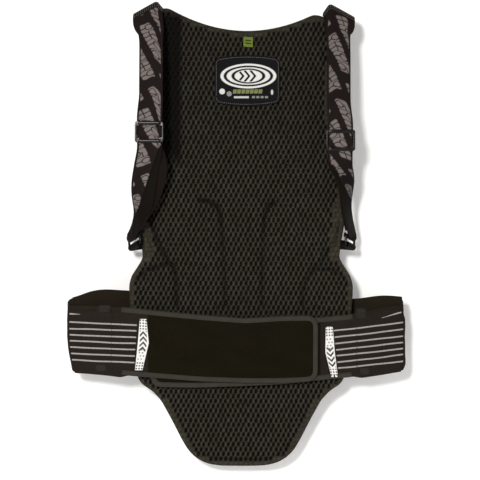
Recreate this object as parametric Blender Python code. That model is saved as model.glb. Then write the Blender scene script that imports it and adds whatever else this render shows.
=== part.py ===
"""Back protector: a padded back panel in three flexing sections with plates, straps and a waist belt.

The panel stands upright as it is worn. +Z runs up the spine to the head, +X to the side, and the
wearer's back lies against the lining on the -Y side. The origin is on the lining at the spine, at the
height of the belt's centre.
"""
from math import cos, pi, radians, sin

import bmesh
import bpy
from mathutils import Matrix, Vector

MM = 0.001

# Heights above the belt's centre.
SHOULDER = 417 * MM
NECK = 396 * MM
NOTCH = 107 * MM
TAIL_JOINT = -58.5 * MM
TAIL_SIDE_END = -137 * MM
TAIL_END = -158.8 * MM

# The panel's side edge, as height and half-width in millimetres, from the shoulder to the tail.
SIDE_EDGE = (
    (417, 131), (400, 124), (375, 116.5), (345, 113), (300, 112), (256, 116), (218, 124), (185, 131),
    (150, 131.5), (128, 127.5), (107, 124.5), (96, 131), (84, 139), (72, 142), (50, 141), (0, 137),
    (-45, 131), (-53, 126), (-62, 112.5), (-74, 101.5), (-100, 87.5), (-124, 75.5), (-137, 68),
)
NECK_DIP_HALF = 92 * MM
NECK_DIP = 24 * MM
SHOULDER_LEAN = 0.045
TAIL_CORNER_RISE = 21.8 * MM

# The back's curves: a hunch over the shoulder blades, a sweep at the tail, a wrap round the ribs.
HUNCH = 12 * MM
HUNCH_LENGTH = 480 * MM
TAIL_SWEEP = 8 * MM
RIB_WRAP = 8 * MM
RIB_HALF = 142 * MM

# Layers, from the wearer outwards.
GAP = 0.3 * MM
LINING = 3 * MM
FOAM = 11 * MM
FOAM_EDGE_SHARE = 0.35
FOAM_TAPER = 25 * MM
COVER = 1.5 * MM
PLATE = 2.5 * MM
PLATE_BASE = LINING + FOAM + COVER + 4 * GAP
BINDING = 2.2 * MM
BINDING_DEPTH = 10 * MM
EDGE_INSET = 5 * MM
FLEX_GAP = 3 * MM

# Straps and their hardware.
WEBBING_WIDTH = 30 * MM
WEBBING = 2.2 * MM
SLIDER_LENGTH = 27 * MM
SLIDER_WIDTH = 36 * MM
RING_BAR = 1.5 * MM
RING_LENGTH = 36 * MM
RING_HEIGHT = 12 * MM
EYE_RADIUS = 3.2 * MM

# Belt.
BELT_CLOTH = 2.2 * MM
TRIM = 0.9 * MM
LEFT_FOLD = -219 * MM
RIGHT_FOLD = 208 * MM
FOLD_DEPTH = -2 * MM

model = bpy.data.collections.new("back_protector")


def clear_scene():
    for old in list(bpy.data.objects):
        bpy.data.objects.remove(old, do_unlink=True)


def material(name, color, roughness, metallic=0.0):
    made = bpy.data.materials.new(name)
    made.use_nodes = True
    shader = made.node_tree.nodes["Principled BSDF"]
    shader.inputs["Base Color"].default_value = (*color, 1.0)
    shader.inputs["Roughness"].default_value = roughness
    shader.inputs["Metallic"].default_value = metallic
    made.diffuse_color = (*color, 1.0)
    return made


MESH_CLOTH = material("spacer_mesh", (0.035, 0.034, 0.028), 0.85)
FOAM_CORE = material("foam", (0.06, 0.06, 0.06), 0.9)
COVER_CLOTH = material("cover_cloth", (0.03, 0.03, 0.03), 0.8)
EDGE_TAPE = material("edge_tape", (0.05, 0.047, 0.04), 0.75)
HARD_SHELL = material("hard_shell", (0.025, 0.025, 0.027), 0.35)
RIVET_STEEL = material("rivet_steel", (0.45, 0.45, 0.47), 0.3, 1.0)
STRAP_WEBBING = material("strap_webbing", (0.03, 0.026, 0.026), 0.7)
BUCKLE = material("buckle_plastic", (0.015, 0.015, 0.015), 0.3)
LABEL_CLOTH = material("label_cloth", (0.02, 0.02, 0.022), 0.6)
TAG_CLOTH = material("tag_cloth", (0.25, 0.33, 0.05), 0.6)
BELT_WEAVE = material("belt_cloth", (0.04, 0.037, 0.034), 0.75)
VELOUR = material("velour", (0.02, 0.019, 0.014), 0.95)
HOOK_TAPE = material("hook_tape", (0.02, 0.02, 0.02), 0.6)
ELASTIC = material("striped_elastic", (0.05, 0.045, 0.042), 0.8)
PATCH_CLOTH = material("patch_cloth", (0.75, 0.75, 0.73), 0.7)


def smooth(value):
    """Ease from 0 to 1 with level ends."""
    value = min(max(value, 0.0), 1.0)
    return value * value * (3 - 2 * value)


def through(points, count, before_first=None, after_last=None):
    """`count` positions on a smooth curve through points, with optional points past its ends."""
    first = before_first or 2 * points[0] - points[1]
    last = after_last or 2 * points[-1] - points[-2]
    ends = [first] + points + [last]
    spans = len(points) - 1
    made = []
    for index in range(count):
        place = index * spans / (count - 1)
        span = min(int(place), spans - 1)
        part = place - span
        before, start, stop, after = ends[span:span + 4]
        made.append(0.5 * (
            2 * start + (stop - before) * part
            + (2 * before - 5 * start + 4 * stop - after) * part ** 2
            + (3 * start - before - 3 * stop + after) * part ** 3
        ))
    return made


# ---------------------------------------------------------------- the panel's shape

def half_width(height):
    """The panel's half-width at a height, straight between the points of its side edge."""
    level = height / MM
    for (top, wide_top), (low, wide_low) in zip(SIDE_EDGE, SIDE_EDGE[1:]):
        if level >= low:
            share = min(max((level - low) / (top - low), 0.0), 1.0)
            return (wide_low + (wide_top - wide_low) * share) * MM
    return SIDE_EDGE[-1][1] * MM


def neck_edge(x):
    """The top edge: a dip for the neck between two shoulders, the far one a little lower."""
    dip = min(abs(x) / NECK_DIP_HALF, 1.0) ** 2
    drop = smooth((abs(x) - NECK_DIP_HALF) / (30 * MM)) * 6 * MM
    return NECK + NECK_DIP * dip - drop - SHOULDER_LEAN * x


def tail_edge(x):
    """The bottom edge: level in the middle, with rounded corners."""
    return TAIL_END + TAIL_CORNER_RISE * min(abs(x) / half_width(TAIL_SIDE_END), 1.0) ** 4


def back_depth(x, z):
    """Y of the lining's face."""
    if z > 0:
        lean = HUNCH * sin(pi * z / HUNCH_LENGTH) ** 2
    else:
        lean = TAIL_SWEEP * (z / TAIL_END) ** 2
    return lean - RIB_WRAP * (x / RIB_HALF) ** 2


def foam_depth(x, z):
    """The foam's thickness, tapered towards the panel's edges."""
    to_edge = min(half_width(z) - abs(x), neck_edge(x) - z, z - tail_edge(x))
    share = FOAM_EDGE_SHARE + (1 - FOAM_EDGE_SHARE) * smooth(to_edge / FOAM_TAPER)
    return FOAM * share


def lining_face(x, z):
    return 0.0


def lining_back(x, z):
    return LINING


def foam_face(x, z):
    return LINING + GAP


def foam_back(x, z):
    return LINING + GAP + foam_depth(x, z)


def cover_face(x, z):
    return foam_back(x, z) + GAP


def cover_back(x, z):
    return cover_face(x, z) + COVER


def at_notch(x):
    return NOTCH


def at_tail_joint(x):
    return TAIL_JOINT


# ---------------------------------------------------------------- building blocks

def finish(name, mesh, surface, smooth_shading=True):
    made = bpy.data.objects.new(name, mesh)
    mesh.materials.append(surface)
    if smooth_shading:
        mesh.shade_smooth()
        mesh.set_sharp_from_angle(angle=radians(35))
    model.objects.link(made)
    return made


def sheet(name, columns, rows, inner, outer, surface):
    """A closed sheet between two faces, inner(u, v) and outer(u, v), with u and v from 0 to 1."""
    shape = bmesh.new()
    bmesh.ops.create_grid(shape, x_segments=columns, y_segments=rows, size=1.0)
    raised = bmesh.ops.extrude_face_region(shape, geom=shape.faces[:])
    raised_points = {point for point in raised["geom"] if isinstance(point, bmesh.types.BMVert)}
    for point in shape.verts:
        u = (point.co.x + 1) / 2
        v = (point.co.y + 1) / 2
        point.co = outer(u, v) if point in raised_points else inner(u, v)
    bmesh.ops.recalc_face_normals(shape, faces=shape.faces[:])
    if shape.calc_volume(signed=True) < 0:
        bmesh.ops.reverse_faces(shape, faces=shape.faces[:])
    mesh = bpy.data.meshes.new(name)
    shape.to_mesh(mesh)
    shape.free()
    return finish(name, mesh, surface)


def panel_section(name, lower, upper, face, back, surface, columns, rows):
    """One layer of one section of the panel, between two heights and two depths."""
    inset_low = EDGE_INSET if lower is tail_edge else FLEX_GAP / 2
    inset_top = EDGE_INSET if upper is neck_edge else FLEX_GAP / 2
    side_low = max(lower(RIB_HALF), TAIL_SIDE_END) + inset_low
    side_top = min(upper(RIB_HALF), SHOULDER) - inset_top

    def place(u, v, depth):
        side = side_low + (side_top - side_low) * v
        x = (2 * u - 1) * (half_width(side) - EDGE_INSET)
        low = lower(x) + inset_low
        top = upper(x) - inset_top
        z = low + (top - low) * v
        return Vector((x, back_depth(x, z) + depth(x, z), z))

    return sheet(name, columns, rows, lambda u, v: place(u, v, face), lambda u, v: place(u, v, back),
                 surface)


def ribbon(name, centres, across, width, thickness, surface, columns=2):
    """A strip that follows `centres`, `width` wide along `across` at each centre."""
    count = len(centres)

    def place(u, v, side):
        index = min(int(round(v * (count - 1))), count - 1)
        ahead = centres[min(index + 1, count - 1)]
        behind = centres[max(index - 1, 0)]
        run = (ahead - behind).normalized()
        wide = across[index] - run * across[index].dot(run)
        wide.normalize()
        out = run.cross(wide)
        return centres[index] + wide * (u - 0.5) * width + out * side * thickness / 2

    return sheet(name, columns, count - 1, lambda u, v: place(u, v, -1), lambda u, v: place(u, v, 1),
                 surface)


def tube(name, points, radius, surface, cyclic=False):
    """A round bar along `points`, made a mesh."""
    line = bpy.data.curves.new(name + "_line", "CURVE")
    line.dimensions = "3D"
    line.bevel_depth = radius
    line.bevel_resolution = 2
    line.use_fill_caps = not cyclic
    spline = line.splines.new("POLY")
    spline.points.add(len(points) - 1)
    for point, place in zip(spline.points, points):
        point.co = (*place, 1.0)
    spline.use_cyclic_u = cyclic
    guide = bpy.data.objects.new(name + "_line", line)
    model.objects.link(guide)
    mesh = bpy.data.meshes.new_from_object(guide.evaluated_get(bpy.context.evaluated_depsgraph_get()))
    bpy.data.objects.remove(guide, do_unlink=True)
    shape = bmesh.new()
    shape.from_mesh(mesh)
    bmesh.ops.remove_doubles(shape, verts=shape.verts[:], dist=0.00001)
    bmesh.ops.recalc_face_normals(shape, faces=shape.faces[:])
    shape.to_mesh(mesh)
    shape.free()
    mesh.name = name
    mesh.materials.clear()
    return finish(name, mesh, surface)


# ---------------------------------------------------------------- panel

SECTIONS = (
    ("thoracic", at_notch, neck_edge, 10, 12),
    ("lumbar", at_tail_joint, at_notch, 10, 8),
    ("tail", tail_edge, at_tail_joint, 8, 6),
)
LAYERS = (
    ("lining", lining_face, lining_back, MESH_CLOTH),
    ("foam_core", foam_face, foam_back, FOAM_CORE),
    ("outer_cover", cover_face, cover_back, COVER_CLOTH),
)


def make_panel():
    for section, lower, upper, columns, rows in SECTIONS:
        for layer, face, back, surface in LAYERS:
            panel_section(f"{section}_{layer}", lower, upper, face, back, surface, columns, rows)


def side_points(side, low, top, count):
    """Points on one side's edge, from low to top."""
    made = []
    for index in range(count):
        z = low + (top - low) * index / (count - 1)
        made.append(Vector((side * half_width(z), 0, z)))
    return made


def edge_binding(name, outline):
    """Tape round the panel's edge: it spans the layers in depth and stays inside the outline."""
    def place(u, v, inward):
        index = int(round(v * (len(outline) - 1)))
        ahead = outline[min(index + 1, len(outline) - 1)]
        behind = outline[max(index - 1, 0)]
        run = (ahead - behind).normalized()
        inner = Vector((run.z, 0, -run.x))
        point = outline[index] + inner * inward
        depth = back_depth(point.x, point.z) + u * BINDING_DEPTH - 0.5 * MM
        return Vector((point.x, depth, point.z))

    sheet(name, 1, len(outline) - 1, lambda u, v: place(u, v, 0.0), lambda u, v: place(u, v, BINDING),
          EDGE_TAPE)


def make_bindings():
    low = NOTCH + FLEX_GAP / 2
    left = side_points(-1, low, SHOULDER - 6 * MM, 18)
    right = side_points(1, low, SHOULDER - 6 * MM, 18)
    top_half = half_width(SHOULDER) - 6 * MM
    top = [Vector((x, 0, neck_edge(x))) for x in (top_half * (step / 12 - 1) for step in range(25))]
    edge_binding("thoracic_binding", left + top + right[::-1])

    low = TAIL_JOINT + FLEX_GAP / 2
    for name, side in (("left", -1), ("right", 1)):
        points = side_points(side, low, NOTCH - FLEX_GAP / 2, 16)
        edge_binding(f"lumbar_binding_{name}", points if side < 0 else points[::-1])

    top = TAIL_JOINT - FLEX_GAP / 2
    left = side_points(-1, TAIL_SIDE_END, top, 9)[::-1]
    right = side_points(1, TAIL_SIDE_END, top, 9)
    corner = half_width(TAIL_SIDE_END)
    steps = [corner * (step / 8 - 1) for step in range(1, 16)]
    bottom = [Vector((x, 0, tail_edge(x))) for x in steps]
    edge_binding("tail_binding", (left + bottom + right)[::-1])


# Each plate: name, low and top height, half-width, its base above the lining and how far its lower
# edge stands out over the next plate, in millimetres.
PLATES = (
    ("thoracic_plate_1", 330, 388, 66, 0, 4.5),
    ("thoracic_plate_2", 262, 342, 76, 0, 4.5),
    ("thoracic_plate_3", 184, 274, 86, 0, 4.5),
    ("thoracic_plate_4", 101, 196, 96, 0, 8.0),
    ("lumbar_plate_1", 14, 104, 100, 2.7, 4.5),
    ("lumbar_plate_2", -64, 26, 92, 2.7, 4.5),
    ("tail_plate", -136, -61, 62, 0, 1.0),
)
RIVETED_PLATES = PLATES[:-1]
RIDGE_HALF = 12 * MM
RIDGE = 3 * MM
FLAT_RIDGE_DEPTH = 30 * MM
RIDGE_SHARE = 0.2
PLATE_COLUMNS = 12
PLATE_CORNER = 12 * MM
PLATE_TAPER = 0.12


def make_plates():
    """Overlapping plates with a raised ridge down the spine; one lumbar ridge is level for a mount."""
    for name, low, top, half, base, stand in PLATES:
        def place(u, v, raised, low=low, top=top, half=half, base=base, stand=stand, name=name):
            across = 2 * u - 1
            reach = half * MM * (1 - PLATE_TAPER * v)
            x = across * reach
            ridge = abs(across) < RIDGE_SHARE
            if ridge:
                x = across / (2 / PLATE_COLUMNS) * RIDGE_HALF
            corner = PLATE_CORNER * abs(across) ** 6
            z_low = low * MM + corner
            z_top = top * MM - corner
            z = z_low + (z_top - z_low) * v
            depth = back_depth(x, z) + PLATE_BASE + base * MM + stand * MM * (1 - v)
            if ridge:
                depth += RIDGE
            if raised:
                depth += PLATE
                if ridge and name == "lumbar_plate_1":
                    depth = FLAT_RIDGE_DEPTH
            return Vector((x, depth, z))

        sheet(name, PLATE_COLUMNS, 4, lambda u, v: place(u, v, False), lambda u, v: place(u, v, True),
              HARD_SHELL)


RIVET_RADIUS = 4 * MM
RIVET_HEIGHT = 1.6 * MM


def make_rivets():
    """A rivet head near each side of every plate's upper edge, where the next plate leaves it bare."""
    for name, low, top, half, base, stand in RIVETED_PLATES:
        z = low * MM + (top - low) * MM * 0.45
        share = (z - low * MM) / ((top - low) * MM)
        for side_name, side in (("left", -1), ("right", 1)):
            x = side * half * MM * 0.8
            depth = back_depth(x, z) + PLATE_BASE + (base + stand * (1 - share)) * MM + PLATE + 2 * MM
            shape = bmesh.new()
            bmesh.ops.create_cone(shape, cap_ends=True, segments=16, radius1=RIVET_RADIUS,
                                  radius2=RIVET_RADIUS * 0.7, depth=RIVET_HEIGHT,
                                  matrix=Matrix.Rotation(radians(-90), 4, "X"))
            mesh = bpy.data.meshes.new(f"{name}_rivet_{side_name}")
            shape.to_mesh(mesh)
            shape.free()
            rivet = finish(f"{name}_rivet_{side_name}", mesh, RIVET_STEEL)
            rivet.location = (x, depth, z)


def make_labels():
    """The neck label, with bowed edges, and the small size tag above it, sewn on the lining."""
    for name, left, right, low, top, bow, surface in (
            ("neck_label", -33.5, 49.5, 305, 359, 4, LABEL_CLOTH),
            ("size_tag", 2.5, 15.5, 374.5, 388.5, 0, TAG_CLOTH)):

        def place(u, v, lift, left=left, right=right, low=low, top=top, bow=bow):
            x = (left + (right - left) * u) * MM
            arch = bow * MM * (1 - (2 * u - 1) ** 2)
            z_low = low * MM - arch
            z_top = top * MM + arch
            z = z_low + (z_top - z_low) * v
            return Vector((x, back_depth(x, z) - lift, z))

        sheet(name, 6, 3, lambda u, v: place(u, v, 1.0 * MM), lambda u, v: place(u, v, 0.4 * MM),
              surface)


# ---------------------------------------------------------------- straps

# Each strap: its side, the X of its fold, slider and ring, the slider's height, and the ring bar's
# direction, in millimetres.
STRAPS = (
    ("left", -1, -117, -116.5, -135.5, 264.5, (14, -27.7, 7.6)),
    ("right", 1, 126, 126.5, 138.5, 254, (-11.5, -29.4, 5)),
)
FOLD_HEIGHT = 436 * MM
ANCHOR_FOOT = 382 * MM
ANCHOR_TOP = 428 * MM
ANCHOR_FOOT_X = 106 * MM
ANCHOR_TOP_INSET = 3 * MM
ANCHOR_THICK = 2 * MM
ANCHOR_GAP = 1.2 * MM
TAB_WIDTH = 9 * MM
TAB_THICK = 2 * MM
TAB_LEVEL = 124 * MM
TAB_DEPTH = 3 * MM
TAB_SHORT_OF_RING = 6 * MM
RING_HEIGHT_ON_SIDE = 134 * MM
RING_DEPTH = -2 * MM
BOW_DEPTH = -32 * MM


def strap_route(fold_x, slider_x, slider_z, end, eye_start):
    """Centres from the shoulder fold, over the panel's front and straight through the slider, to the
    eye at the ring."""
    upper_x = slider_x + (fold_x - slider_x) * 0.5
    slider_top = Vector((slider_x * MM, BOW_DEPTH, (slider_z + 29) * MM))
    slider_foot = Vector((slider_x * MM, BOW_DEPTH, (slider_z - 29) * MM))
    upper = [
        Vector((fold_x * MM, 8 * MM, FOLD_HEIGHT - 2.5 * MM)),
        Vector((fold_x * MM, 0, FOLD_HEIGHT)),
        Vector((fold_x * MM, -9 * MM, FOLD_HEIGHT - 5 * MM)),
        Vector((fold_x * MM, -16 * MM, 414 * MM)),
        Vector((upper_x * MM, -25 * MM, 372 * MM)),
        Vector((upper_x * MM, -30.5 * MM, 325 * MM)),
        slider_top,
    ]
    shift = slider_x * MM - end.x
    lower = [
        slider_foot,
        end + Vector((shift * 0.5, -22 * MM, 66 * MM)),
        end + Vector((shift * 0.12, -10.5 * MM, 32 * MM)),
        eye_start,
    ]
    above = Vector((upper[-2].x, upper[-2].y, upper[-2].z - 100 * MM))
    below = Vector((lower[1].x, lower[1].y, lower[1].z + 80 * MM))
    return through(upper, 25, after_last=above)[:-1] + [slider_top] + through(lower, 16, before_first=below)


def eye_points(end, bar, turns):
    """The webbing's turn round the ring's bar, from the front over the bottom to the back."""
    down = Vector((0, 0, -1))
    down = (down - bar * down.dot(bar)).normalized()
    front = bar.cross(down).normalized()
    if front.y > 0:
        front = -front
    made = []
    for index in range(turns):
        angle = pi * index / (turns - 1)
        made.append(end + EYE_RADIUS * (cos(angle) * front + sin(angle) * down))
    return made


def make_straps():
    for name, side, fold_x, slider_x, ring_x, slider_z, bar_way in STRAPS:
        bar = Vector(bar_way).normalized()
        if bar.x < 0:
            bar = -bar
        end = Vector((ring_x * MM, RING_DEPTH, RING_HEIGHT_ON_SIDE))
        turn = eye_points(end, bar, 7)
        centres = strap_route(fold_x, slider_x, slider_z, end, turn[0]) + turn[1:]
        twist_from = (slider_z - 32) * MM
        across = []
        for centre in centres:
            share = smooth((twist_from - centre.z) / (twist_from - RING_HEIGHT_ON_SIDE - 12 * MM))
            across.append(Vector((1, 0, 0)).lerp(bar, share))
        ribbon(f"{name}_strap", centres, across, WEBBING_WIDTH, WEBBING, STRAP_WEBBING)
        make_return(name, centres, across, slider_z)
        make_slider(name, slider_x, slider_z)
        make_ring(name, end, bar)
        make_anchor(name, side, fold_x)
        make_tab(name, side, ring_x)


def make_return(name, centres, across, slider_z):
    """The webbing's second layer, from the ring's eye back up behind the strap to the slider."""
    picked = [
        index for index, centre in enumerate(centres)
        if RING_HEIGHT_ON_SIDE + 22 * MM < centre.z < (slider_z - 18) * MM and centre.y < -4 * MM
    ]
    route = []
    for index in picked:
        run = (centres[index + 1] - centres[index - 1]).normalized()
        wide = (across[index] - run * across[index].dot(run)).normalized()
        out = run.cross(wide)
        if out.y < 0:
            out = -out
        route.append(centres[index] + out * (WEBBING + 0.9 * MM))
    ribbon(f"{name}_strap_return", route, [across[index] for index in picked], WEBBING_WIDTH - 2 * MM,
           WEBBING, STRAP_WEBBING)


def make_slider(name, slider_x, slider_z):
    """A tri-glide: two end bars in front of the webbing, one middle bar behind it, and two rails."""
    centre = Vector((slider_x * MM, BOW_DEPTH, slider_z * MM))
    rail = 2.4 * MM
    depth = 7.4 * MM
    bar_depth = 1.9 * MM
    bar_length = SLIDER_WIDTH - 1 * MM
    bar_off = 2.45 * MM
    end_bar = 6 * MM
    middle_bar = 5 * MM
    end = (SLIDER_LENGTH - end_bar - 1 * MM) / 2
    side = (SLIDER_WIDTH - rail) / 2
    parts = (
        (Vector((-side, 0, 0)), Vector((rail, depth, SLIDER_LENGTH))),
        (Vector((side, 0, 0)), Vector((rail, depth, SLIDER_LENGTH))),
        (Vector((0, -bar_off, end)), Vector((bar_length, bar_depth, end_bar))),
        (Vector((0, -bar_off, -end)), Vector((bar_length, bar_depth, end_bar))),
        (Vector((0, bar_off, 0)), Vector((bar_length, bar_depth, middle_bar))),
    )
    blocks = []
    for index, (offset, size) in enumerate(parts):
        bpy.ops.mesh.primitive_cube_add(size=1.0, location=centre + offset)
        block = bpy.context.object
        block.name = f"{name}_slider_block_{index}"
        block.data.transform(Matrix.Diagonal((*size, 1.0)))
        for holder in list(block.users_collection):
            holder.objects.unlink(block)
        model.objects.link(block)
        blocks.append(block)
    body = blocks[0]
    for block in blocks[1:]:
        union = body.modifiers.new("join", "BOOLEAN")
        union.operation = "UNION"
        union.object = block
    mesh = bpy.data.meshes.new_from_object(body.evaluated_get(bpy.context.evaluated_depsgraph_get()))
    place = body.matrix_world.copy()
    for block in blocks:
        bpy.data.objects.remove(block, do_unlink=True)
    mesh.name = f"{name}_slider"
    mesh.materials.clear()
    slider = finish(f"{name}_slider", mesh, BUCKLE, smooth_shading=False)
    slider.matrix_world = place


def make_ring(name, end, bar):
    """An oblong wire ring: the strap holds its upper bar and the tab its lower one."""
    down = Vector((0, 0, -1))
    down = (down - bar * down.dot(bar)).normalized()
    corner = 3 * MM
    half_long = RING_LENGTH / 2 - corner
    half_high = RING_HEIGHT / 2 - corner
    centre = end + down * RING_HEIGHT / 2
    points = []
    for quarter, (long_side, high_side) in enumerate(((1, 1), (-1, 1), (-1, -1), (1, -1))):
        for step in range(4):
            angle = pi / 2 * (quarter + step / 3)
            along = long_side * half_long + corner * cos(angle)
            high = high_side * half_high + corner * sin(angle)
            points.append(centre + bar * along + down * high)
    tube(f"{name}_ring", points, RING_BAR, BUCKLE, cyclic=True)


def make_anchor(name, side, fold_x):
    """The webbing sewn on the outer cover, which leans out towards the strap's fold at the shoulder."""
    foot = side * ANCHOR_FOOT_X
    head = fold_x * MM - side * ANCHOR_TOP_INSET

    def place(u, v, lift):
        x = foot + (head - foot) * v + (u - 0.5) * WEBBING_WIDTH
        z = ANCHOR_FOOT + (ANCHOR_TOP - ANCHOR_FOOT) * v
        edge = min(z, neck_edge(x) - 1 * MM)
        return Vector((x, back_depth(x, edge) + cover_back(x, edge) + ANCHOR_GAP + lift, z))

    sheet(f"{name}_strap_anchor", 4, 8, lambda u, v: place(u, v, 0.0),
          lambda u, v: place(u, v, ANCHOR_THICK), STRAP_WEBBING)


def make_tab(name, side, ring_x):
    """The short webbing tab that stands out of the panel's side seam towards the ring."""
    root_x = side * (half_width(TAB_LEVEL) + 3 * GAP)
    tip_x = side * (abs(ring_x) * MM - TAB_SHORT_OF_RING)
    centres = [Vector((root_x + (tip_x - root_x) * step / 2, TAB_DEPTH, TAB_LEVEL)) for step in range(3)]
    across = [Vector((0, 0, 1))] * 3
    ribbon(f"{name}_ring_tab", centres, across, TAB_WIDTH, TAB_THICK, STRAP_WEBBING)


# ---------------------------------------------------------------- belt

# Edges of the belt's cloth, as X with low and top height, and the depth of its middle, in millimetres.
LEFT_WING = ((-214, -30, 55, 0.5), (-190, -25, 64, 2), (-174, -23, 66, 3), (-150, -24, 64.5, 6),
             (-128, -25, 63, 10.5), (-100, -26, 62, 13.8), (-62, -26, 62, 16.2))
RIGHT_WING = ((204, -33, 53.5, 0.5), (190, -31, 56, 1.5), (176, -31, 57, 3), (150, -33, 54, 6),
              (128, -34, 53, 10.5), (100, -34, 53, 13.8), (62, -34, 53, 16.2))
LEFT_FLAP = ((-217, -38, 49, -3), (-190, -39, 49, -9), (-165, -41, 48, -14.5), (-141, -44, 47, -17.2),
             (-103, -47, 43, -17.7), (-52, -51, 38, -17.7), (5, -53, 33.5, -17.7), (50, -53, 36.5, -17.7),
             (97, -51, 37, -17.7))
RIGHT_FLAP = ((206, -36, 50, -3), (180, -40, 46, -8), (158, -43, 42, -11.2), (138, -46, 38, -12.2),
              (97, -50, 34, -12.2), (50, -55, 31, -12.2), (0, -57.5, 29, -12.2), (-60, -59.5, 31, -12.2),
              (-114, -58.5, 33, -12.2))


def belt_at(stations, x):
    """Low edge, top edge and depth of a piece of belt cloth at X, in metres."""
    ordered = sorted(stations)
    level = x / MM
    for first, second in zip(ordered, ordered[1:]):
        if level <= second[0] or second is ordered[-1]:
            share = (level - first[0]) / (second[0] - first[0])
            return [(first[item] + (second[item] - first[item]) * share) * MM for item in (1, 2, 3)]


def belt_piece(name, stations, x_from, x_to, low_share, top_share, near, far, surface, columns, lean=0,
               follow=0):
    """A piece of belt cloth between two X, two shares of the height and two depths off the middle.

    `follow` is how much of the spine's profile it takes on.
    """
    def place(u, v, off):
        x = (x_from + (x_to - x_from) * u) * MM
        low, top, depth = belt_at(stations, x)
        share = low_share + (top_share - low_share) * v
        z = low + (top - low) * share
        ahead = belt_at(stations, x + 1 * MM)[2]
        behind = belt_at(stations, x - 1 * MM)[2]
        slope = Vector((2 * MM, ahead - behind, 0)).normalized()
        away = Vector((-slope.y, slope.x, 0))
        depth += follow * back_depth(0, z)
        return Vector((x + lean * (share - 0.5) * MM, depth, z)) + away * off

    return sheet(name, columns, 2, lambda u, v: place(u, v, near), lambda u, v: place(u, v, far),
                 surface)


def make_belt():
    half = BELT_CLOTH / 2
    belt_piece("left_rear_wing", LEFT_WING, -214, -62, 0, 1, -half, half, BELT_WEAVE, 16,
               follow=1)
    belt_piece("right_rear_wing", RIGHT_WING, 204, 62, 0, 1, -half, half, BELT_WEAVE, 16,
               follow=1)
    belt_piece("left_flap", LEFT_FLAP, -217, 92, 0.05, 0.95, -half, half, BELT_WEAVE, 30)
    belt_piece("right_flap", RIGHT_FLAP, 206, -109, 0.05, 0.95, -half, half, BELT_WEAVE, 30)
    front = -half - GAP
    back = half + GAP
    belt_piece("left_elastic", LEFT_FLAP, -215, -133, 0.06, 0.86, front - TRIM, front, ELASTIC, 10)
    belt_piece("right_elastic", RIGHT_FLAP, 204, 124.5, 0.06, 0.9, front - TRIM, front, ELASTIC, 10)
    belt_piece("left_flap_face", LEFT_FLAP, -113, 91, 0.06, 0.94, front - TRIM, front, VELOUR, 20)
    belt_piece("right_loop_panel", RIGHT_FLAP, 100, -106, 0.08, 0.92, front - TRIM, front, VELOUR, 20)
    belt_piece("left_hook_panel", LEFT_FLAP, 10, 88, 0.1, 0.9, back, back + TRIM, HOOK_TAPE, 8)
    belt_piece("left_patch", LEFT_FLAP, -129, -118, 0.12, 0.8, front - TRIM, front, PATCH_CLOTH, 2,
               lean=5)
    belt_piece("right_patch", RIGHT_FLAP, 107, 118, 0.12, 0.8, front - TRIM, front, PATCH_CLOTH, 2,
               lean=-5)
    belt_end("left_flap_binding", LEFT_FLAP, 92.4, 97)
    belt_end("right_flap_binding", RIGHT_FLAP, -109.4, -114)


def belt_end(name, stations, x_from, x_to):
    """The bound free end of a belt flap."""
    belt_piece(name, stations, x_from, x_to, 0.03, 0.97, -1.9 * MM, 1.9 * MM, EDGE_TAPE, 2)


# ---------------------------------------------------------------- moving pieces on their joints

THORACIC_AXIS = Vector((0, -1.5 * MM, NOTCH))
TAIL_AXIS = Vector((0, -6 * MM, TAIL_JOINT))


def hang(pivot_name, place, prefixes):
    """Parent the pieces whose names start with one of the prefixes to an empty on their joint."""
    pivot = bpy.data.objects.new(pivot_name, None)
    pivot.location = place
    model.objects.link(pivot)
    bpy.context.view_layer.update()
    for piece in list(model.objects):
        if piece.type == "MESH" and piece.name.startswith(prefixes) and piece.parent is None:
            world = piece.matrix_world.copy()
            piece.parent = pivot
            piece.matrix_parent_inverse = pivot.matrix_world.inverted()
            piece.matrix_world = world
    return pivot


def make_joints():
    hang("thoracic_flex", THORACIC_AXIS, ("thoracic", "neck_label", "size_tag", "left_ring_tab",
                                          "right_ring_tab", "left_strap_anchor", "right_strap_anchor"))
    pivots = {}
    for name, side, fold_x, slider_x, ring_x, slider_z, bar_way in STRAPS:
        ring_place = Vector((ring_x * MM, RING_DEPTH, RING_HEIGHT_ON_SIDE))
        fold_place = Vector((fold_x * MM, 0, FOLD_HEIGHT))
        pivots[name] = [
            hang(f"{name}_ring_swivel", ring_place, (f"{name}_ring",)),
            hang(f"{name}_slider_travel", Vector((slider_x * MM, BOW_DEPTH, slider_z * MM)),
                 (f"{name}_slider",)),
        ]
        swing = hang(f"{name}_strap_swing", fold_place, (f"{name}_strap",))
        bpy.context.view_layer.update()
        for pivot in pivots[name]:
            world = pivot.matrix_world.copy()
            pivot.parent = swing
            pivot.matrix_parent_inverse = swing.matrix_world.inverted()
            pivot.matrix_world = world
    hang("tail_flex", TAIL_AXIS, ("tail",))
    hang("left_belt_open", Vector((LEFT_FOLD, FOLD_DEPTH, 0)), ("left_flap", "left_elastic", "left_hook",
                                                               "left_patch"))
    hang("right_belt_open", Vector((RIGHT_FOLD, FOLD_DEPTH, 0)), ("right_flap", "right_elastic",
                                                                 "right_loop", "right_patch"))


clear_scene()
bpy.context.scene.collection.children.link(model)
make_panel()
make_bindings()
make_plates()
make_rivets()
make_labels()
make_straps()
make_belt()
make_joints()
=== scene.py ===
"""The back protector's looks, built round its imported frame.

Lengths in this file are millimetres, which `build` turns into metres, but for the camera and the lights,
which are placed in metres. The axes are the frame's own: +Z up the spine, +X to the side on which the belt's
upper flap ends, and the wearer on the -Y side.
"""
from math import cos, pi, radians, sin

import bmesh
import bpy
import numpy as np
from mathutils import Matrix, Vector


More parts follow.
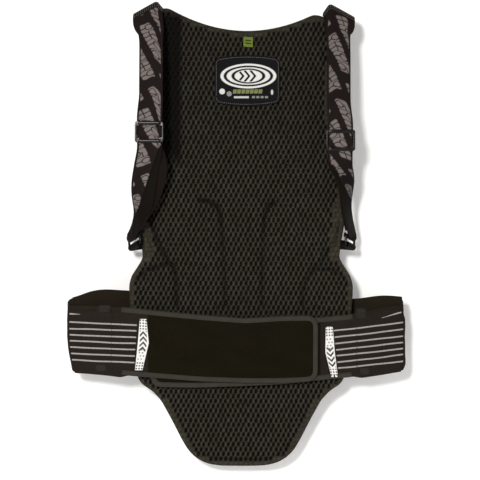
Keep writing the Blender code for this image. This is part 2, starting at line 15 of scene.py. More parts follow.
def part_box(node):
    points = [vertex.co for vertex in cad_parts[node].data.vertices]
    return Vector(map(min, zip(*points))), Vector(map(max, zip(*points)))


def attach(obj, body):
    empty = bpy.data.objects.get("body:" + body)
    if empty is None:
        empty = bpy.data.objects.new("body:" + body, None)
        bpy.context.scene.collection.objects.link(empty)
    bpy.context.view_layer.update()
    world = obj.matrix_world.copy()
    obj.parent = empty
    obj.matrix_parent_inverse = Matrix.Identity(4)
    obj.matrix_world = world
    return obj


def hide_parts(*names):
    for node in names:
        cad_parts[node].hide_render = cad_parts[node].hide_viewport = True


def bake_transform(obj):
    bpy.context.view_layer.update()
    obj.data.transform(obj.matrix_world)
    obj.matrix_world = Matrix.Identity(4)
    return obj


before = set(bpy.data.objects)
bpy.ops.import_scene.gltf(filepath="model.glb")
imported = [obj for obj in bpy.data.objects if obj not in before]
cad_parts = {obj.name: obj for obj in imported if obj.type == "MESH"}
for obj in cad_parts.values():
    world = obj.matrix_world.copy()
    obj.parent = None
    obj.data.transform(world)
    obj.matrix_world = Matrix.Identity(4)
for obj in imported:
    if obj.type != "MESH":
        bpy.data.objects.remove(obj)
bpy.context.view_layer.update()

MM = 0.001
RANDOM = np.random.default_rng(7)
TO_WEARER = (0.0, -1.0, 0.0)

# ---------------------------------------------------------------- the panel's shape, as in the CAD model

SHOULDER = 417.0
NECK = 396.0
NOTCH = 107.0
TAIL_JOINT = -58.5
TAIL_SIDE_END = -137.0
TAIL_END = -158.8
SIDE_EDGE = (
    (417, 131), (400, 124), (375, 116.5), (345, 113), (300, 112), (256, 116), (218, 124), (185, 131),
    (150, 131.5), (128, 127.5), (107, 124.5), (96, 131), (84, 139), (72, 142), (50, 141), (0, 137),
    (-45, 131), (-53, 126), (-62, 112.5), (-74, 101.5), (-100, 87.5), (-124, 75.5), (-137, 68),
)
SIDE_HEIGHTS = np.array([height for height, half in SIDE_EDGE[::-1]], float)
SIDE_HALVES = np.array([half for height, half in SIDE_EDGE[::-1]], float)
LINING = 3.0
FOAM = 11.0
COVER = 1.5
PLATE = 2.5
PLATE_BASE = 16.7


def smooth(value):
    """Ease from 0 to 1 with level ends."""
    value = np.clip(value, 0.0, 1.0)
    return value * value * (3 - 2 * value)


def half_width(z):
    return np.interp(z, SIDE_HEIGHTS, SIDE_HALVES)


def neck_edge(x):
    dip = np.minimum(np.abs(x) / 92, 1.0) ** 2
    return NECK + 24 * dip - 6 * smooth((np.abs(x) - 92) / 30) - 0.045 * x


def tail_edge(x):
    return TAIL_END + 21.8 * np.minimum(np.abs(x) / 68, 1.0) ** 4


def back_depth(x, z):
    """Y of the lining's face in the CAD model."""
    lean = np.where(z > 0, 12 * np.sin(pi * z / 480) ** 2, 8 * (z / TAIL_END) ** 2)
    return lean - 8 * (x / 142) ** 2


def edge_distance(x, z):
    """How far inside the panel's outline a point is."""
    return np.minimum(half_width(z) - np.abs(x), np.minimum(neck_edge(x) - z, z - tail_edge(x)))


# ---------------------------------------------------------------- meshes

def build(name, points, faces, material, marks=None):
    """A mesh object from points in millimetres. `marks` are values or vectors stored at its points."""
    mesh = bpy.data.meshes.new(name)
    mesh.from_pydata((np.asarray(points, float) * MM).tolist(), [], faces)
    mesh.materials.append(material)
    for mark, values in (marks or {}).items():
        values = np.asarray(values, np.float32)
        kind = "FLOAT_VECTOR" if values.ndim == 2 else "FLOAT"
        layer = mesh.attributes.new(mark, kind, "POINT")
        layer.data.foreach_set("vector" if values.ndim == 2 else "value", values.ravel())
    mesh.shade_smooth()
    made = bpy.data.objects.new(name, mesh)
    bpy.context.scene.collection.objects.link(made)
    return made


def grid_faces(rows, columns, first=0, flip=False):
    """Quads over rows x columns points stored row by row, facing along (column step) x (row step)."""
    index = np.arange(rows * columns).reshape(rows, columns) + first
    quads = np.stack([index[:-1, :-1], index[:-1, 1:], index[1:, 1:], index[1:, :-1]], -1).reshape(-1, 4)
    return (quads[:, ::-1] if flip else quads).tolist()


def between_rings(rings):
    """Quads from each ring of point numbers to the next one."""
    rings = np.asarray(rings)
    ahead = np.roll(rings, -1, -1)
    return np.stack([rings[:-1], ahead[:-1], ahead[1:], rings[1:]], -1).reshape(-1, 4).tolist()


def grid_normals(mid):
    normal = np.cross(np.gradient(mid, axis=1), np.gradient(mid, axis=0))
    return normal / np.maximum(np.linalg.norm(normal, axis=2, keepdims=True), 1e-9)


def arc_lengths(mid):
    """Distance along each row and column of a grid of points, measured from its middle."""
    along_u = np.linalg.norm(np.diff(mid, axis=1), axis=2)
    along_v = np.linalg.norm(np.diff(mid, axis=0), axis=2)
    u = np.concatenate([np.zeros((mid.shape[0], 1)), np.cumsum(along_u, axis=1)], axis=1)
    v = np.concatenate([np.zeros((1, mid.shape[1])), np.cumsum(along_v, axis=0)], axis=0)
    return u - u[:, -1:] / 2, v


def run_lengths(line):
    """Distance of each point along a line from its first one."""
    return np.concatenate([[0], np.cumsum(np.linalg.norm(np.diff(line, axis=0), axis=1))])


def around(rows, columns):
    """The grid's border in order, anticlockwise from its first corner."""
    low = [(0, column) for column in range(columns - 1)]
    right = [(row, columns - 1) for row in range(rows - 1)]
    top = [(rows - 1, column) for column in range(columns - 1, 0, -1)]
    return low + right + top + [(row, 0) for row in range(rows - 1, 0, -1)]


def slab(name, mid, thickness, material, paint=None, relief=0.0, front_lift=None):
    """A closed sheet with rounded edges about a grid of middle points.

    Its front looks along (column step) x (row step). `paint(u, v)` gives the print's strength at distances
    across and along the sheet, and the print stands `relief` proud. "weave" holds those distances.
    """
    mid = np.asarray(mid, float)
    rows, columns = mid.shape[:2]
    normal = grid_normals(mid)
    u, v = arc_lengths(mid)
    half = np.broadcast_to(np.asarray(thickness, float) / 2, (rows, columns))[..., None]
    ink = paint(u, v) if paint else np.zeros((rows, columns))
    lift = relief * ink if front_lift is None else front_lift + relief * ink
    front = mid + normal * (half + lift[..., None])
    back = mid - normal * half
    border = around(rows, columns)
    at = tuple(np.array(border).T)
    inner = tuple(np.array([(min(max(r, 1), rows - 2), min(max(c, 1), columns - 2)) for r, c in border]).T)
    out = mid[at] - mid[inner]
    out /= np.maximum(np.linalg.norm(out, axis=1, keepdims=True), 1e-9)
    rims = [mid[at] + half[at] * (normal[at] * sin(turn) + out * cos(turn) * 0.9)
            for turn in (pi / 4, 0, -pi / 4)]
    count = rows * columns
    points = np.concatenate([front.reshape(-1, 3), back.reshape(-1, 3)] + rims)
    faces = grid_faces(rows, columns) + grid_faces(rows, columns, first=count, flip=True)
    loop = at[0] * columns + at[1]
    rim_points = 2 * count + np.arange(3 * len(loop)).reshape(3, -1)
    faces += between_rings([loop + count, *rim_points[::-1], loop])
    flat = np.stack([u, v, np.zeros_like(u)], -1)
    weave = np.concatenate([flat.reshape(-1, 3), flat.reshape(-1, 3)] + [flat[at]] * 3)
    inks = np.concatenate([ink.ravel(), np.zeros(count), ink[at], np.zeros(2 * len(loop))])
    return build(name, points, faces, material, {"weave": weave, "print": inks})


def sweep(name, path, sideways, upward, profile, material, closed=False):
    """A closed profile, (sideways, upward) pairs, carried along a path, with flat ends if it isn't closed."""
    path = np.asarray(path, float)
    profile = np.asarray(profile, float)
    if profile.ndim == 2:
        profile = np.broadcast_to(profile, (len(path), *profile.shape))
    count = profile.shape[1]
    points = (path[:, None] + np.asarray(sideways)[:, None] * profile[..., :1]
              + np.asarray(upward)[:, None] * profile[..., 1:])
    rings = np.arange(len(path) * count).reshape(len(path), count)
    if closed:
        faces = between_rings([*rings, rings[0]])
    else:
        faces = between_rings(rings) + [rings[0, ::-1].tolist(), rings[-1].tolist()]
    weave = np.zeros((len(path), count, 3))
    weave[..., 0] = run_lengths(profile[0])[None]
    weave[..., 1] = run_lengths(path)[:, None]
    made = build(name, points.reshape(-1, 3), faces, material,
                 {"weave": weave.reshape(-1, 3), "print": np.zeros(len(path) * count)})
    face_outwards(made)
    return made


def face_outwards(made):
    shape = bmesh.new()
    shape.from_mesh(made.data)
    bmesh.ops.recalc_face_normals(shape, faces=shape.faces[:])
    if shape.calc_volume(signed=True) < 0:
        bmesh.ops.reverse_faces(shape, faces=shape.faces[:])
    shape.to_mesh(made.data)
    shape.free()


def through(points, count):
    """`count` positions evenly spaced in parameter on a smooth curve through points."""
    points = np.asarray(points, float)
    ends = np.concatenate([[2 * points[0] - points[1]], points, [2 * points[-1] - points[-2]]])
    spans = len(points) - 1
    place = np.linspace(0, spans, count)
    span = np.minimum(place.astype(int), spans - 1)
    part = (place - span)[:, None]
    before, start, stop, after = ends[span], ends[span + 1], ends[span + 2], ends[span + 3]
    return 0.5 * (2 * start + (stop - before) * part
                  + (2 * before - 5 * start + 4 * stop - after) * part ** 2
                  + (3 * start - before - 3 * stop + after) * part ** 3)


def even(points, step):
    """The same line with points about `step` apart."""
    points = np.asarray(points, float)
    along = run_lengths(points)
    count = max(int(round(along[-1] / step)) + 1, 2)
    at = np.linspace(0, along[-1], count)
    return np.stack([np.interp(at, along, points[:, item]) for item in range(points.shape[1])], -1)


def unit(vectors):
    vectors = np.asarray(vectors, float)
    return vectors / np.maximum(np.linalg.norm(vectors, axis=-1, keepdims=True), 1e-9)


def stitches(name, starts, ends, outward, material, radius):
    """Thread stitches, one small pill from each start to each end, arched a little off the cloth."""
    starts, ends, outward = (np.asarray(item, float) for item in (starts, ends, outward))
    run = unit(ends - starts)
    side = unit(np.cross(run, outward))
    rings = []
    for share, size, rise in ((0.0, 0.35, -0.25), (0.2, 0.95, 0.12), (0.5, 1.0, 0.25), (0.8, 0.95, 0.12),
                              (1.0, 0.35, -0.25)):
        centre = starts + (ends - starts) * share + outward * rise * radius * 1.5
        for corner in range(6):
            angle = pi / 3 * corner
            rings.append(centre + radius * size * (side * cos(angle) + outward * sin(angle)))
    points = np.stack(rings, 1)
    numbers = np.arange(points.shape[0] * points.shape[1]).reshape(-1, 5, 6).transpose(1, 0, 2)
    faces = between_rings(numbers) + numbers[0, :, ::-1].tolist() + numbers[-1].tolist()
    made = build(name, points.reshape(-1, 3), faces, material)
    face_outwards(made)
    return made


def stitch_row(path, outward, pitch, length):
    """Starts, ends and outward directions of stitches along a line that lies on the cloth."""
    fine = even(np.concatenate([path, outward], axis=1), pitch / 8)
    lines, outs = fine[:, :3], unit(fine[:, 3:])
    step = 8
    reach = max(int(round(step * length / pitch)), 1)
    picks = np.arange(0, len(lines) - reach, step)
    return lines[picks], lines[picks + reach], outs[picks]


def seam_along(name, path, outward, material, pitch, length, radius):
    """A row of stitches along a line; `outward` is one direction, or one for each of its points."""
    outward = np.broadcast_to(np.asarray(outward, float), np.shape(path))
    return stitches(name, *stitch_row(path, outward, pitch, length), material, radius)


def unit_grid(rows, columns):
    """Shares from 0 to 1 over a grid: how far up, and how far across."""
    return np.meshgrid(np.linspace(0, 1, rows), np.linspace(0, 1, columns), indexing="ij")


def dress(made, body, slot, *nodes):
    """Put a piece on its body and hide the CAD nodes it stands for. `slot` is not used."""
    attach(made, body)
    if nodes:
        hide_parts(*nodes)


# ---------------------------------------------------------------- materials

class Surface:
    """A Principled material built from small steps. Distances in its patterns are millimetres of cloth."""

    def __init__(self, name, color, roughness, **sockets):
        self.material = bpy.data.materials.new(name)
        self.material.use_nodes = True
        self.tree = self.material.node_tree
        self.shader = self.tree.nodes["Principled BSDF"]
        self.shader.inputs["Base Color"].default_value = (*color, 1.0)
        self.shader.inputs["Roughness"].default_value = roughness
        for socket, value in sockets.items():
            self.shader.inputs[socket.replace("_", " ")].default_value = value
        self.weave = self.attribute("weave", "Vector")
        split = self.node("SeparateXYZ", self.weave)
        self.across, self.along = split.outputs[0], split.outputs[1]

    def link(self, source, target):
        self.tree.links.new(source, target)

    def put(self, value, socket):
        if isinstance(value, (int, float)):
            socket.default_value = value
        elif isinstance(value, tuple):
            socket.default_value = value if len(value) == 4 else (*value, 1.0)
        else:
            self.link(value, socket)

    def node(self, kind, *sources, **settings):
        """A new node with its settings, and its first inputs fed in order."""
        made = self.tree.nodes.new("ShaderNode" + kind)
        for setting, value in settings.items():
            setattr(made, setting, value)
        for number, source in enumerate(sources):
            self.put(source, made.inputs[number])
        return made

    def attribute(self, name, output="Fac"):
        return self.node("Attribute", attribute_name=name).outputs[output]

    def math(self, operation, first, second=0.0, clamp=False):
        return self.node("Math", first, second, operation=operation, use_clamp=clamp).outputs[0]

    def wave(self, coordinate, pitch):
        """A sine of the coordinate, one turn per pitch."""
        return self.math("SINE", self.math("MULTIPLY", coordinate, 2 * pi / pitch))

    def noise(self, scale, detail=3.0, stretch=None, place=None):
        """Noise from 0 to 1 with features 1/scale mm wide."""
        place = place or self.weave
        if stretch:
            node = self.node("VectorMath", place, operation="MULTIPLY")
            node.inputs[1].default_value = stretch
            place = node.outputs[0]
        return self.node("TexNoise", place, 0.0, scale, detail).outputs["Fac"]

    def patches(self, scale, detail, spread, stretch=None):
        """Noise with its middle stretched: it goes from 0 to 1 within `spread` of a half."""
        return self.ramp(self.noise(scale, detail, stretch), 0.5 - spread, 0.5 + spread)

    def ridges(self, coordinate, pitch):
        return self.ramp(self.wave(coordinate, pitch), -1.0, 1.0)

    def grain(self, scale, detail=2.0):
        """Noise fixed in the piece, in metres, for materials without a weave."""
        return self.noise(scale, detail, place=self.node("TexCoord").outputs["Object"])

    def ramp(self, value, low, high, to_low=0.0, to_high=1.0):
        return self.node("MapRange", value, low, high, to_low, to_high).outputs[0]

    def mix(self, share, first, second):
        node = self.node("Mix", share, data_type="RGBA")
        self.put(first, node.inputs[6])
        self.put(second, node.inputs[7])
        return node.outputs[2]

    def over(self, tone, share, amount, color):
        """The tone with a colour laid over it where `share` is high."""
        return self.mix(self.math("MULTIPLY", share, amount), tone, color)

    def sum(self, first, second, share):
        """The first at the given share, and the second for the rest."""
        return self.math("ADD", self.math("MULTIPLY", first, share), self.math("MULTIPLY", second, 1 - share))

    def paint(self, color):
        self.put(color, self.shader.inputs["Base Color"])

    def rough(self, value):
        self.put(value, self.shader.inputs["Roughness"])

    def bump(self, height, depth):
        """Bump from a height of 0 to 1, `depth` millimetres deep."""
        node = self.node("Bump")
        node.inputs["Distance"].default_value = depth * MM
        node.inputs["Strength"].default_value = 1.0
        self.put(height, node.inputs["Height"])
        self.link(node.outputs[0], self.shader.inputs["Normal"])


def tinted(color, factor):
    return tuple(channel * factor for channel in color)


def woven(name, color, roughness=0.8, pitch=0.9, depth=0.12, ink=None, sheen=0.02, wear=0.5):
    """Plain-woven cloth: crossing threads, uneven dye, fuzz, and an optional print in another colour."""
    cloth = Surface(name, color, roughness, Sheen_Weight=sheen, Sheen_Roughness=0.45,
                    Specular_IOR_Level=0.12)
    crossed = cloth.math("MULTIPLY", cloth.wave(cloth.across, pitch), cloth.wave(cloth.along, pitch))
    threads = cloth.ramp(crossed, -1.0, 1.0)
    fuzz = cloth.patches(1.6, 2.0, 0.25)
    faded, fresh = tinted(color, 1.0 - 0.3 * wear), tinted(color, 1.0 + 0.35 * wear)
    tone = cloth.mix(cloth.patches(0.06, 4.0, 0.2), faded, fresh)
    tone = cloth.over(tone, fuzz, 0.35, tinted(color, 1.5))
    tone = cloth.over(tone, threads, 0.35, tinted(color, 0.55))
    if ink:
        worn = cloth.ramp(cloth.noise(0.9, 3.0), 0.2, 0.5, 0.72, 1.0)
        shade = cloth.math("MULTIPLY", cloth.attribute("print"), worn, clamp=True)
        tone = cloth.mix(shade, tone, ink)
        # Where "print" is below 0 the webbing is turned over: its plain side, painted darker and browner,
        # partly its own colour and partly painted shade.
        turned_shaded = cloth.ramp(cloth.attribute("print"), -1.0, 0.0, 1.0, 0.0)
        tone = cloth.mix(turned_shaded, tone, (color[0] * 0.45, color[1] * 0.40, color[2] * 0.16))
    cloth.paint(tone)
    cloth.bump(cloth.sum(threads, fuzz, 0.7), depth)
    return cloth.material


def ribbed(name, color, depth=0.35, roughness=0.8):
    """Elastic cloth with fine ribs across its length."""
    cloth = Surface(name, color, roughness, Sheen_Weight=0.02, Sheen_Roughness=0.5, Specular_IOR_Level=0.1)
    ribs = cloth.ridges(cloth.across, 1.7)
    picks = cloth.ridges(cloth.along, 1.1)
    tone = cloth.mix(cloth.patches(0.05, 4.0, 0.2), tinted(color, 0.75), tinted(color, 1.25))
    tone = cloth.over(tone, cloth.patches(0.42, 2.0, 0.15, (1.3, 1.0, 1.0)), 0.55, tinted(color, 0.35))
    tone = cloth.mix(cloth.math("MULTIPLY", ribs, 0.6), tinted(color, 0.45), tone)
    tone = cloth.over(tone, cloth.patches(1.3, 2.0, 0.2), 0.3, tinted(color, 1.7))
    cloth.paint(tone)
    cloth.bump(cloth.sum(ribs, picks, 0.75), depth)
    return cloth.material


def napped(name, color):
    """Velour: a matt pile with faint knitted columns and brushed patches."""
    cloth = Surface(name, color, 0.95, Sheen_Weight=0.01, Sheen_Roughness=0.6, Specular_IOR_Level=0.05)
    pile = cloth.patches(1.1, 3.0, 0.25)
    columns = cloth.ridges(cloth.across, 2.6)
    brushed = cloth.patches(0.035, 3.0, 0.15, (0.6, 1.6, 1.0))
    tone = cloth.mix(brushed, tinted(color, 0.75), tinted(color, 1.3))
    tone = cloth.over(tone, cloth.patches(0.32, 2.0, 0.2, (1.6, 0.7, 1.0)), 0.6, tinted(color, 2.0))
    tone = cloth.over(tone, pile, 0.4, tinted(color, 1.8))
    tone = cloth.over(tone, columns, 0.4, tinted(color, 0.4))
    cloth.paint(tone)
    cloth.bump(cloth.sum(pile, columns, 0.8), 0.35)
    return cloth.material


def netted(name, color):
    """Air mesh: knitted yarn. The "height" mark holds painted light and shade: painted highlights on its ribs
    and painted shade inside its holes.
    """
    cloth = Surface(name, color, 0.85, Sheen_Weight=0.02, Sheen_Roughness=0.4, Specular_IOR_Level=0.1)
    slanted = cloth.math("ADD", cloth.along, cloth.math("MULTIPLY", cloth.across, 0.5))
    yarn = cloth.ridges(slanted, 0.9)
    fuzz = cloth.patches(1.2, 2.0, 0.25)
    browner = (color[0] * 0.92, color[1] * 0.84, color[2] * 0.80)
    greener = (color[0] * 1.05, color[1] * 1.14, color[2] * 1.20)
    tone = cloth.mix(cloth.patches(0.035, 4.0, 0.15), browner, greener)
    tone = cloth.over(tone, fuzz, 0.4, tinted(color, 1.5))
    tone = cloth.over(tone, yarn, 0.3, tinted(color, 0.6))
    # The "height" mark is painted light and shade, not a height: it darkens the holes, the creases, the
    # strap's shadow and the neck, and lights the ribs.
    cloth.paint(cloth.mix(cloth.attribute("height"), tinted(color, 0.04), tone))
    cloth.bump(cloth.sum(yarn, fuzz, 0.6), 0.18)
    return cloth.material


def moulded(name, color, roughness, depth=0.05, scale=1.2, specular=0.5):
    """Moulded plastic: a fine grain, handling marks and slightly uneven gloss."""
    plastic = Surface(name, color, roughness, Specular_IOR_Level=specular)
    marks = plastic.grain(60.0, 6.0)
    plastic.paint(plastic.mix(plastic.ramp(marks, 0.35, 0.7), tinted(color, 0.85), tinted(color, 1.25)))
    plastic.rough(plastic.ramp(marks, 0.3, 0.7, roughness * 0.8, min(roughness * 1.25, 1.0)))
    plastic.bump(plastic.grain(scale / MM, 3.0), depth)
    return plastic.material


def thread(name, color):
    """Sewing thread: two plies, a soft gloss."""
    cotton = Surface(name, color, 0.6, Sheen_Weight=0.05, Specular_IOR_Level=0.2)
    ply = cotton.grain(1400.0)
    cotton.paint(cotton.mix(cotton.ramp(ply, 0.35, 0.65), tinted(color, 0.7), tinted(color, 1.2)))
    cotton.bump(ply, 0.08)
    return cotton.material


def brushed_metal(name, color):
    metal = Surface(name, color, 0.32, Metallic=1.0)
    scratches = metal.grain(900.0, 4.0)
    metal.rough(metal.ramp(scratches, 0.3, 0.7, 0.22, 0.45))
    metal.paint(metal.mix(scratches, tinted(color, 0.8), tinted(color, 1.1)))
    metal.bump(scratches, 0.03)
    return metal.material


NET = netted("air_mesh", (0.046, 0.041, 0.029))
BACKING = woven("mesh_backing", (0.006, 0.005, 0.004), pitch=1.4, sheen=0.0)
FOAM_LOOK = moulded("closed_cell_foam", (0.05, 0.05, 0.05), 0.9, depth=0.3, scale=0.6)
COVER_LOOK = woven("cover_nylon", (0.016, 0.016, 0.016), pitch=0.8, depth=0.15)
TAPE = woven("edge_tape", (0.034, 0.030, 0.023), pitch=0.7, depth=0.12)
BELT_TAPE = woven("belt_edge_tape", (0.038, 0.033, 0.027), pitch=0.7, depth=0.12)
SHELL = moulded("plate_plastic", (0.018, 0.018, 0.019), 0.38, depth=0.06)
STEEL = brushed_metal("rivet_metal", (0.45, 0.45, 0.47))
WEBBING = woven("printed_webbing", (0.0096, 0.0058, 0.0055), pitch=1.1, depth=0.2,
                ink=(0.178, 0.152, 0.146), sheen=0.01)
PLAIN_WEBBING = woven("plain_webbing", (0.0060, 0.0034, 0.0014), pitch=1.1, depth=0.2, sheen=0.0)
BUCKLE = moulded("buckle_nylon", (0.005, 0.004, 0.003), 0.26, depth=0.03, specular=0.22)
WING = woven("belt_cloth", (0.0125, 0.0085, 0.004), pitch=1.0, depth=0.15)
FLAP = woven("flap_cloth", (0.016, 0.011, 0.008), pitch=1.0, depth=0.15)
ELASTIC = ribbed("ribbed_elastic", (0.0225, 0.0160, 0.0125))
STRIPE = ribbed("white_stripe", (0.46, 0.43, 0.42), depth=0.2, roughness=0.7)
VELOUR = napped("velour_pile", (0.0066, 0.0052, 0.0022))
HOOK = woven("hook_tape", (0.012, 0.012, 0.012), pitch=1.8, depth=0.5, sheen=0.0)
LABEL = woven("label_weave", (0.004, 0.004, 0.005), pitch=0.5, depth=0.06, ink=(0.72, 0.72, 0.70), sheen=0.0)
LABEL_LIME = woven("label_lime", (0.17, 0.20, 0.07), pitch=0.5, depth=0.06)
TAG = woven("tag_weave", (0.12, 0.165, 0.025), pitch=0.5, depth=0.06, ink=(0.02, 0.02, 0.01))
PATCH = woven("patch_weave", (0.80, 0.79, 0.77), pitch=0.8, depth=0.1, ink=(0.02, 0.018, 0.015), wear=0.1)
DARK_THREAD = thread("dark_thread", (0.006, 0.005, 0.004))
PALE_THREAD = thread("pale_thread", (0.16, 0.155, 0.15))
GREY_THREAD = thread("grey_thread", (0.031, 0.026, 0.020))


# ---------------------------------------------------------------- the lining's swelling

# Sewn lines on the lining, as (x, z).
SEWN_LINES = (
    ((-54, 181), (-42, 179), (-31, 174), (-26, 163), (-23, 120), (-20, 47)),
    ((43, 178), (35, 173), (29.5, 158), (27.5, 110), (26.5, 47)),
    ((-139, 79), (-129.5, 84), (-120, 91.5), (-110, 95), (-94, 99.5), (-86, 97)),
    ((-86, 99), (-82.5, 84), (-81.5, 47)),
    ((-115, 160), (-112, 142), (-103, 121), (-95, 108), (-90, 98)),
    ((127, 152), (123, 132), (102.5, 104), (87, 88), (79, 70), (77, 47)),
    ((86, 88), (98, 94), (110.5, 93), (123, 89), (137, 78)),
)
# Rolls that the gathered sides stand up in, beside the ring tabs.
ROLLS = (
    ((-126, 154), (-122, 135), (-115, 103)),
    ((134, 172), (133, 140), (128, 108)),
)
FIELD_STEP = 3.0
FIELD_X = np.arange(-150, 150.1, FIELD_STEP)
FIELD_Z = np.arange(-171, 432.1, FIELD_STEP)
EDGE_BACK = 1.2
SWELL = 8.5


def line_distance(x, z, line):
    """Distance of points from a chain of straight pieces."""
    best = np.full(np.shape(x), 1e9)
    for (x_from, z_from), (x_to, z_to) in zip(line, line[1:]):
        run_x, run_z = x_to - x_from, z_to - z_from
        share = ((x - x_from) * run_x + (z - z_from) * run_z) / (run_x ** 2 + run_z ** 2)
        share = np.clip(share, 0, 1)
        best = np.minimum(best, np.hypot(x - x_from - share * run_x, z - z_from - share * run_z))
    return best


def sewn_distance(x, z):
    return np.minimum.reduce([line_distance(x, z, line) for line in SEWN_LINES])


def dome(distance, reach):
    return np.sqrt(1 - (1 - np.clip(distance / reach, 0, 1)) ** 2)


def drawn_swell(x, z):
    """How far the pad stands towards the wearer, between its edge and its sewn lines."""
    return SWELL * dome(edge_distance(x, z), 30) * (0.3 + 0.7 * dome(sewn_distance(x, z), 17))


def simulated_swell():
    """The same from a cloth pad that is sewn at its edge and lines and filled with air."""
    x, z = np.meshgrid(FIELD_X[::2], FIELD_Z[::2])
    inside = edge_distance(x, z) > -1
    index = -np.ones(x.shape, int)
    index[inside] = np.arange(inside.sum())
    corners = np.stack([index[:-1, :-1], index[:-1, 1:], index[1:, 1:], index[1:, :-1]], -1).reshape(-1, 4)
    quads = corners[(corners >= 0).all(1)]
    front = np.stack([x[inside], np.full(inside.sum(), -2.0), z[inside]], -1)
    back = front + (0, 4, 0)
    count = len(front)
    edges = {}
    for quad in quads.tolist():
        for first, second in zip(quad, quad[1:] + quad[:1]):
            if (second, first) in edges:
                edges.pop((second, first))
            else:
                edges[(first, second)] = True
    faces = quads.tolist() + (quads[:, ::-1] + count).tolist()
    faces += [(second, first, first + count, second + count) for first, second in edges]
    pad = build("pad_trial", np.concatenate([front, back]), faces, BACKING)
    held = pad.vertex_groups.new(name="sewn")
    near = np.minimum(edge_distance(front[:, 0], front[:, 2]) - 3, sewn_distance(front[:, 0], front[:, 2]))
    pinned = np.concatenate([np.flatnonzero(near < 3.2), np.arange(count, 2 * count)])
    held.add([int(item) for item in pinned], 1.0, "REPLACE")
    cloth = pad.modifiers.new("Cloth", "CLOTH")
    cloth.settings.vertex_group_mass = "sewn"
    cloth.settings.use_pressure = True
    cloth.settings.uniform_pressure_force = 4.0
    cloth.settings.tension_stiffness = 12
    cloth.settings.compression_stiffness = 6
    cloth.settings.bending_stiffness = 0.8
    cloth.settings.effector_weights.gravity = 0.0
    cloth.collision_settings.use_collision = False
    scene = bpy.context.scene
    for number in range(1, 21):
        scene.frame_set(number)
    shaped = pad.evaluated_get(bpy.context.evaluated_depsgraph_get()).to_mesh()
    moved = np.empty(len(shaped.vertices) * 3)
    shaped.vertices.foreach_get("co", moved)
    rise = -2.0 - moved.reshape(-1, 3)[:count, 1] / MM
    scene.frame_set(1)
    bpy.data.objects.remove(pad, do_unlink=True)
    coarse = np.zeros(x.shape)
    coarse[inside] = rise
    fine_x, fine_z = np.meshgrid(FIELD_X, FIELD_Z)
    return sample(coarse, fine_x, fine_z, FIELD_STEP * 2)


def sample(field, x, z, step=FIELD_STEP):
    """The field's value between its points."""
    column = np.clip((x - FIELD_X[0]) / step, 0, field.shape[1] - 1.001)
    row = np.clip((z - FIELD_Z[0]) / step, 0, field.shape[0] - 1.001)
    left, low = column.astype(int), row.astype(int)
    part_x, part_z = column - left, row - low
    return (field[low, left] * (1 - part_x) * (1 - part_z) + field[low, left + 1] * part_x * (1 - part_z)
            + field[low + 1, left] * (1 - part_x) * part_z + field[low + 1, left + 1] * part_x * part_z)


def ripples(x, z, size, seed):
    """Smooth unevenness of about -1 to 1 with a given wavelength."""
    made = np.zeros(np.shape(x))
    turns = np.random.default_rng(seed)
    for _ in range(6):
        angle, phase = turns.uniform(0, 2 * pi, 2)
        length = size * turns.uniform(0.7, 1.6)
        made = made + np.sin(2 * pi * (x * cos(angle) + z * sin(angle)) / length + phase)
    return made / 3.5


def make_field():
    x, z = np.meshgrid(FIELD_X, FIELD_Z)
    swell = drawn_swell(x, z)
    puffed = simulated_swell()
    swell = 0.6 * swell + 0.4 * np.clip(puffed, -0.5, 9.0)
    return swell + 0.5 * ripples(x, z, 55, 3) * dome(edge_distance(x, z), 20)


FIELD = make_field()
UNDER_BELT = -9.3
CREASE_HALF = 4.6
CREASE_DEPTH = 3.0
CREASE_SHADE = 0.8
STRAP_SHADE = 0.93
ROLL = 3.6
EDGE_SEAM = 9.5
BACKING_GAP = 3.8
FOAM_GAP = 8.5
LABEL_BOX = (-33.5, 49.5, 305, 359)


def crease_share(x, z):
    """1 on a sewn line, fading to 0 beside it; weaker where the line is a soft fold."""
    near = 1 - smooth(sewn_distance(x, z) / CREASE_HALF)
    near = near * (0.55 + 0.45 * smooth((z - 130) / 30) * smooth((60 - np.abs(x)) / 5) + 0.3 * (x < -80))
    round_tail = (1 - smooth(np.abs(edge_distance(x, z) - EDGE_SEAM) / 3.2)) * smooth((-76 - z) / 22)
    return np.maximum(near, 0.6 * round_tail)


def strap_shade(x, z):
    """1 in the deep shade beside the left strap, fading to 0 inwards."""
    return smooth((-73 - x) / 6) * smooth((z - 214) / 30) * smooth((426 - z) / 16)


def roll_rise(x, z):
    nearest = np.minimum.reduce([line_distance(x, z, line) for line in ROLLS])
    return ROLL * (1 - smooth(nearest / 8.0))


def net_depth(x, z):
    """Y of the lining's outer side."""
    left, right, low, top = LABEL_BOX
    near_label = np.minimum.reduce([x - left + 12, right + 12 - x, z - low + 14, top + 14 - z])
    swell = sample(FIELD, x, z) * (1 - 0.35 * smooth(near_label / 12))
    depth = back_depth(x, z) + EDGE_BACK - swell + CREASE_DEPTH * crease_share(x, z) - roll_rise(x, z)
    under_belt = smooth((z + 70) / 12) * smooth((50 - z) / 12)
    return depth + np.maximum(UNDER_BELT - depth, 0) * under_belt


# ---------------------------------------------------------------- panel

HOLE_PITCH = 6.35
ROW_PITCH = 6.2
CELL_CORNERS = ((3.175, 2.287), (0.0, 3.913), (-3.175, 2.287),
                (-3.175, -2.287), (0.0, -3.913), (3.175, -2.287))
# Rings of a cell from its border in to its hole: half width, half height, how far it stands towards the
# wearer, and its painted shade, darkest down in the hole.
CELL_RINGS = ((1.95, 3.25, 0.5, 0.42), (1.2, 2.6, -0.9, 0.02), (0.65, 1.9, -2.4, 0.0))
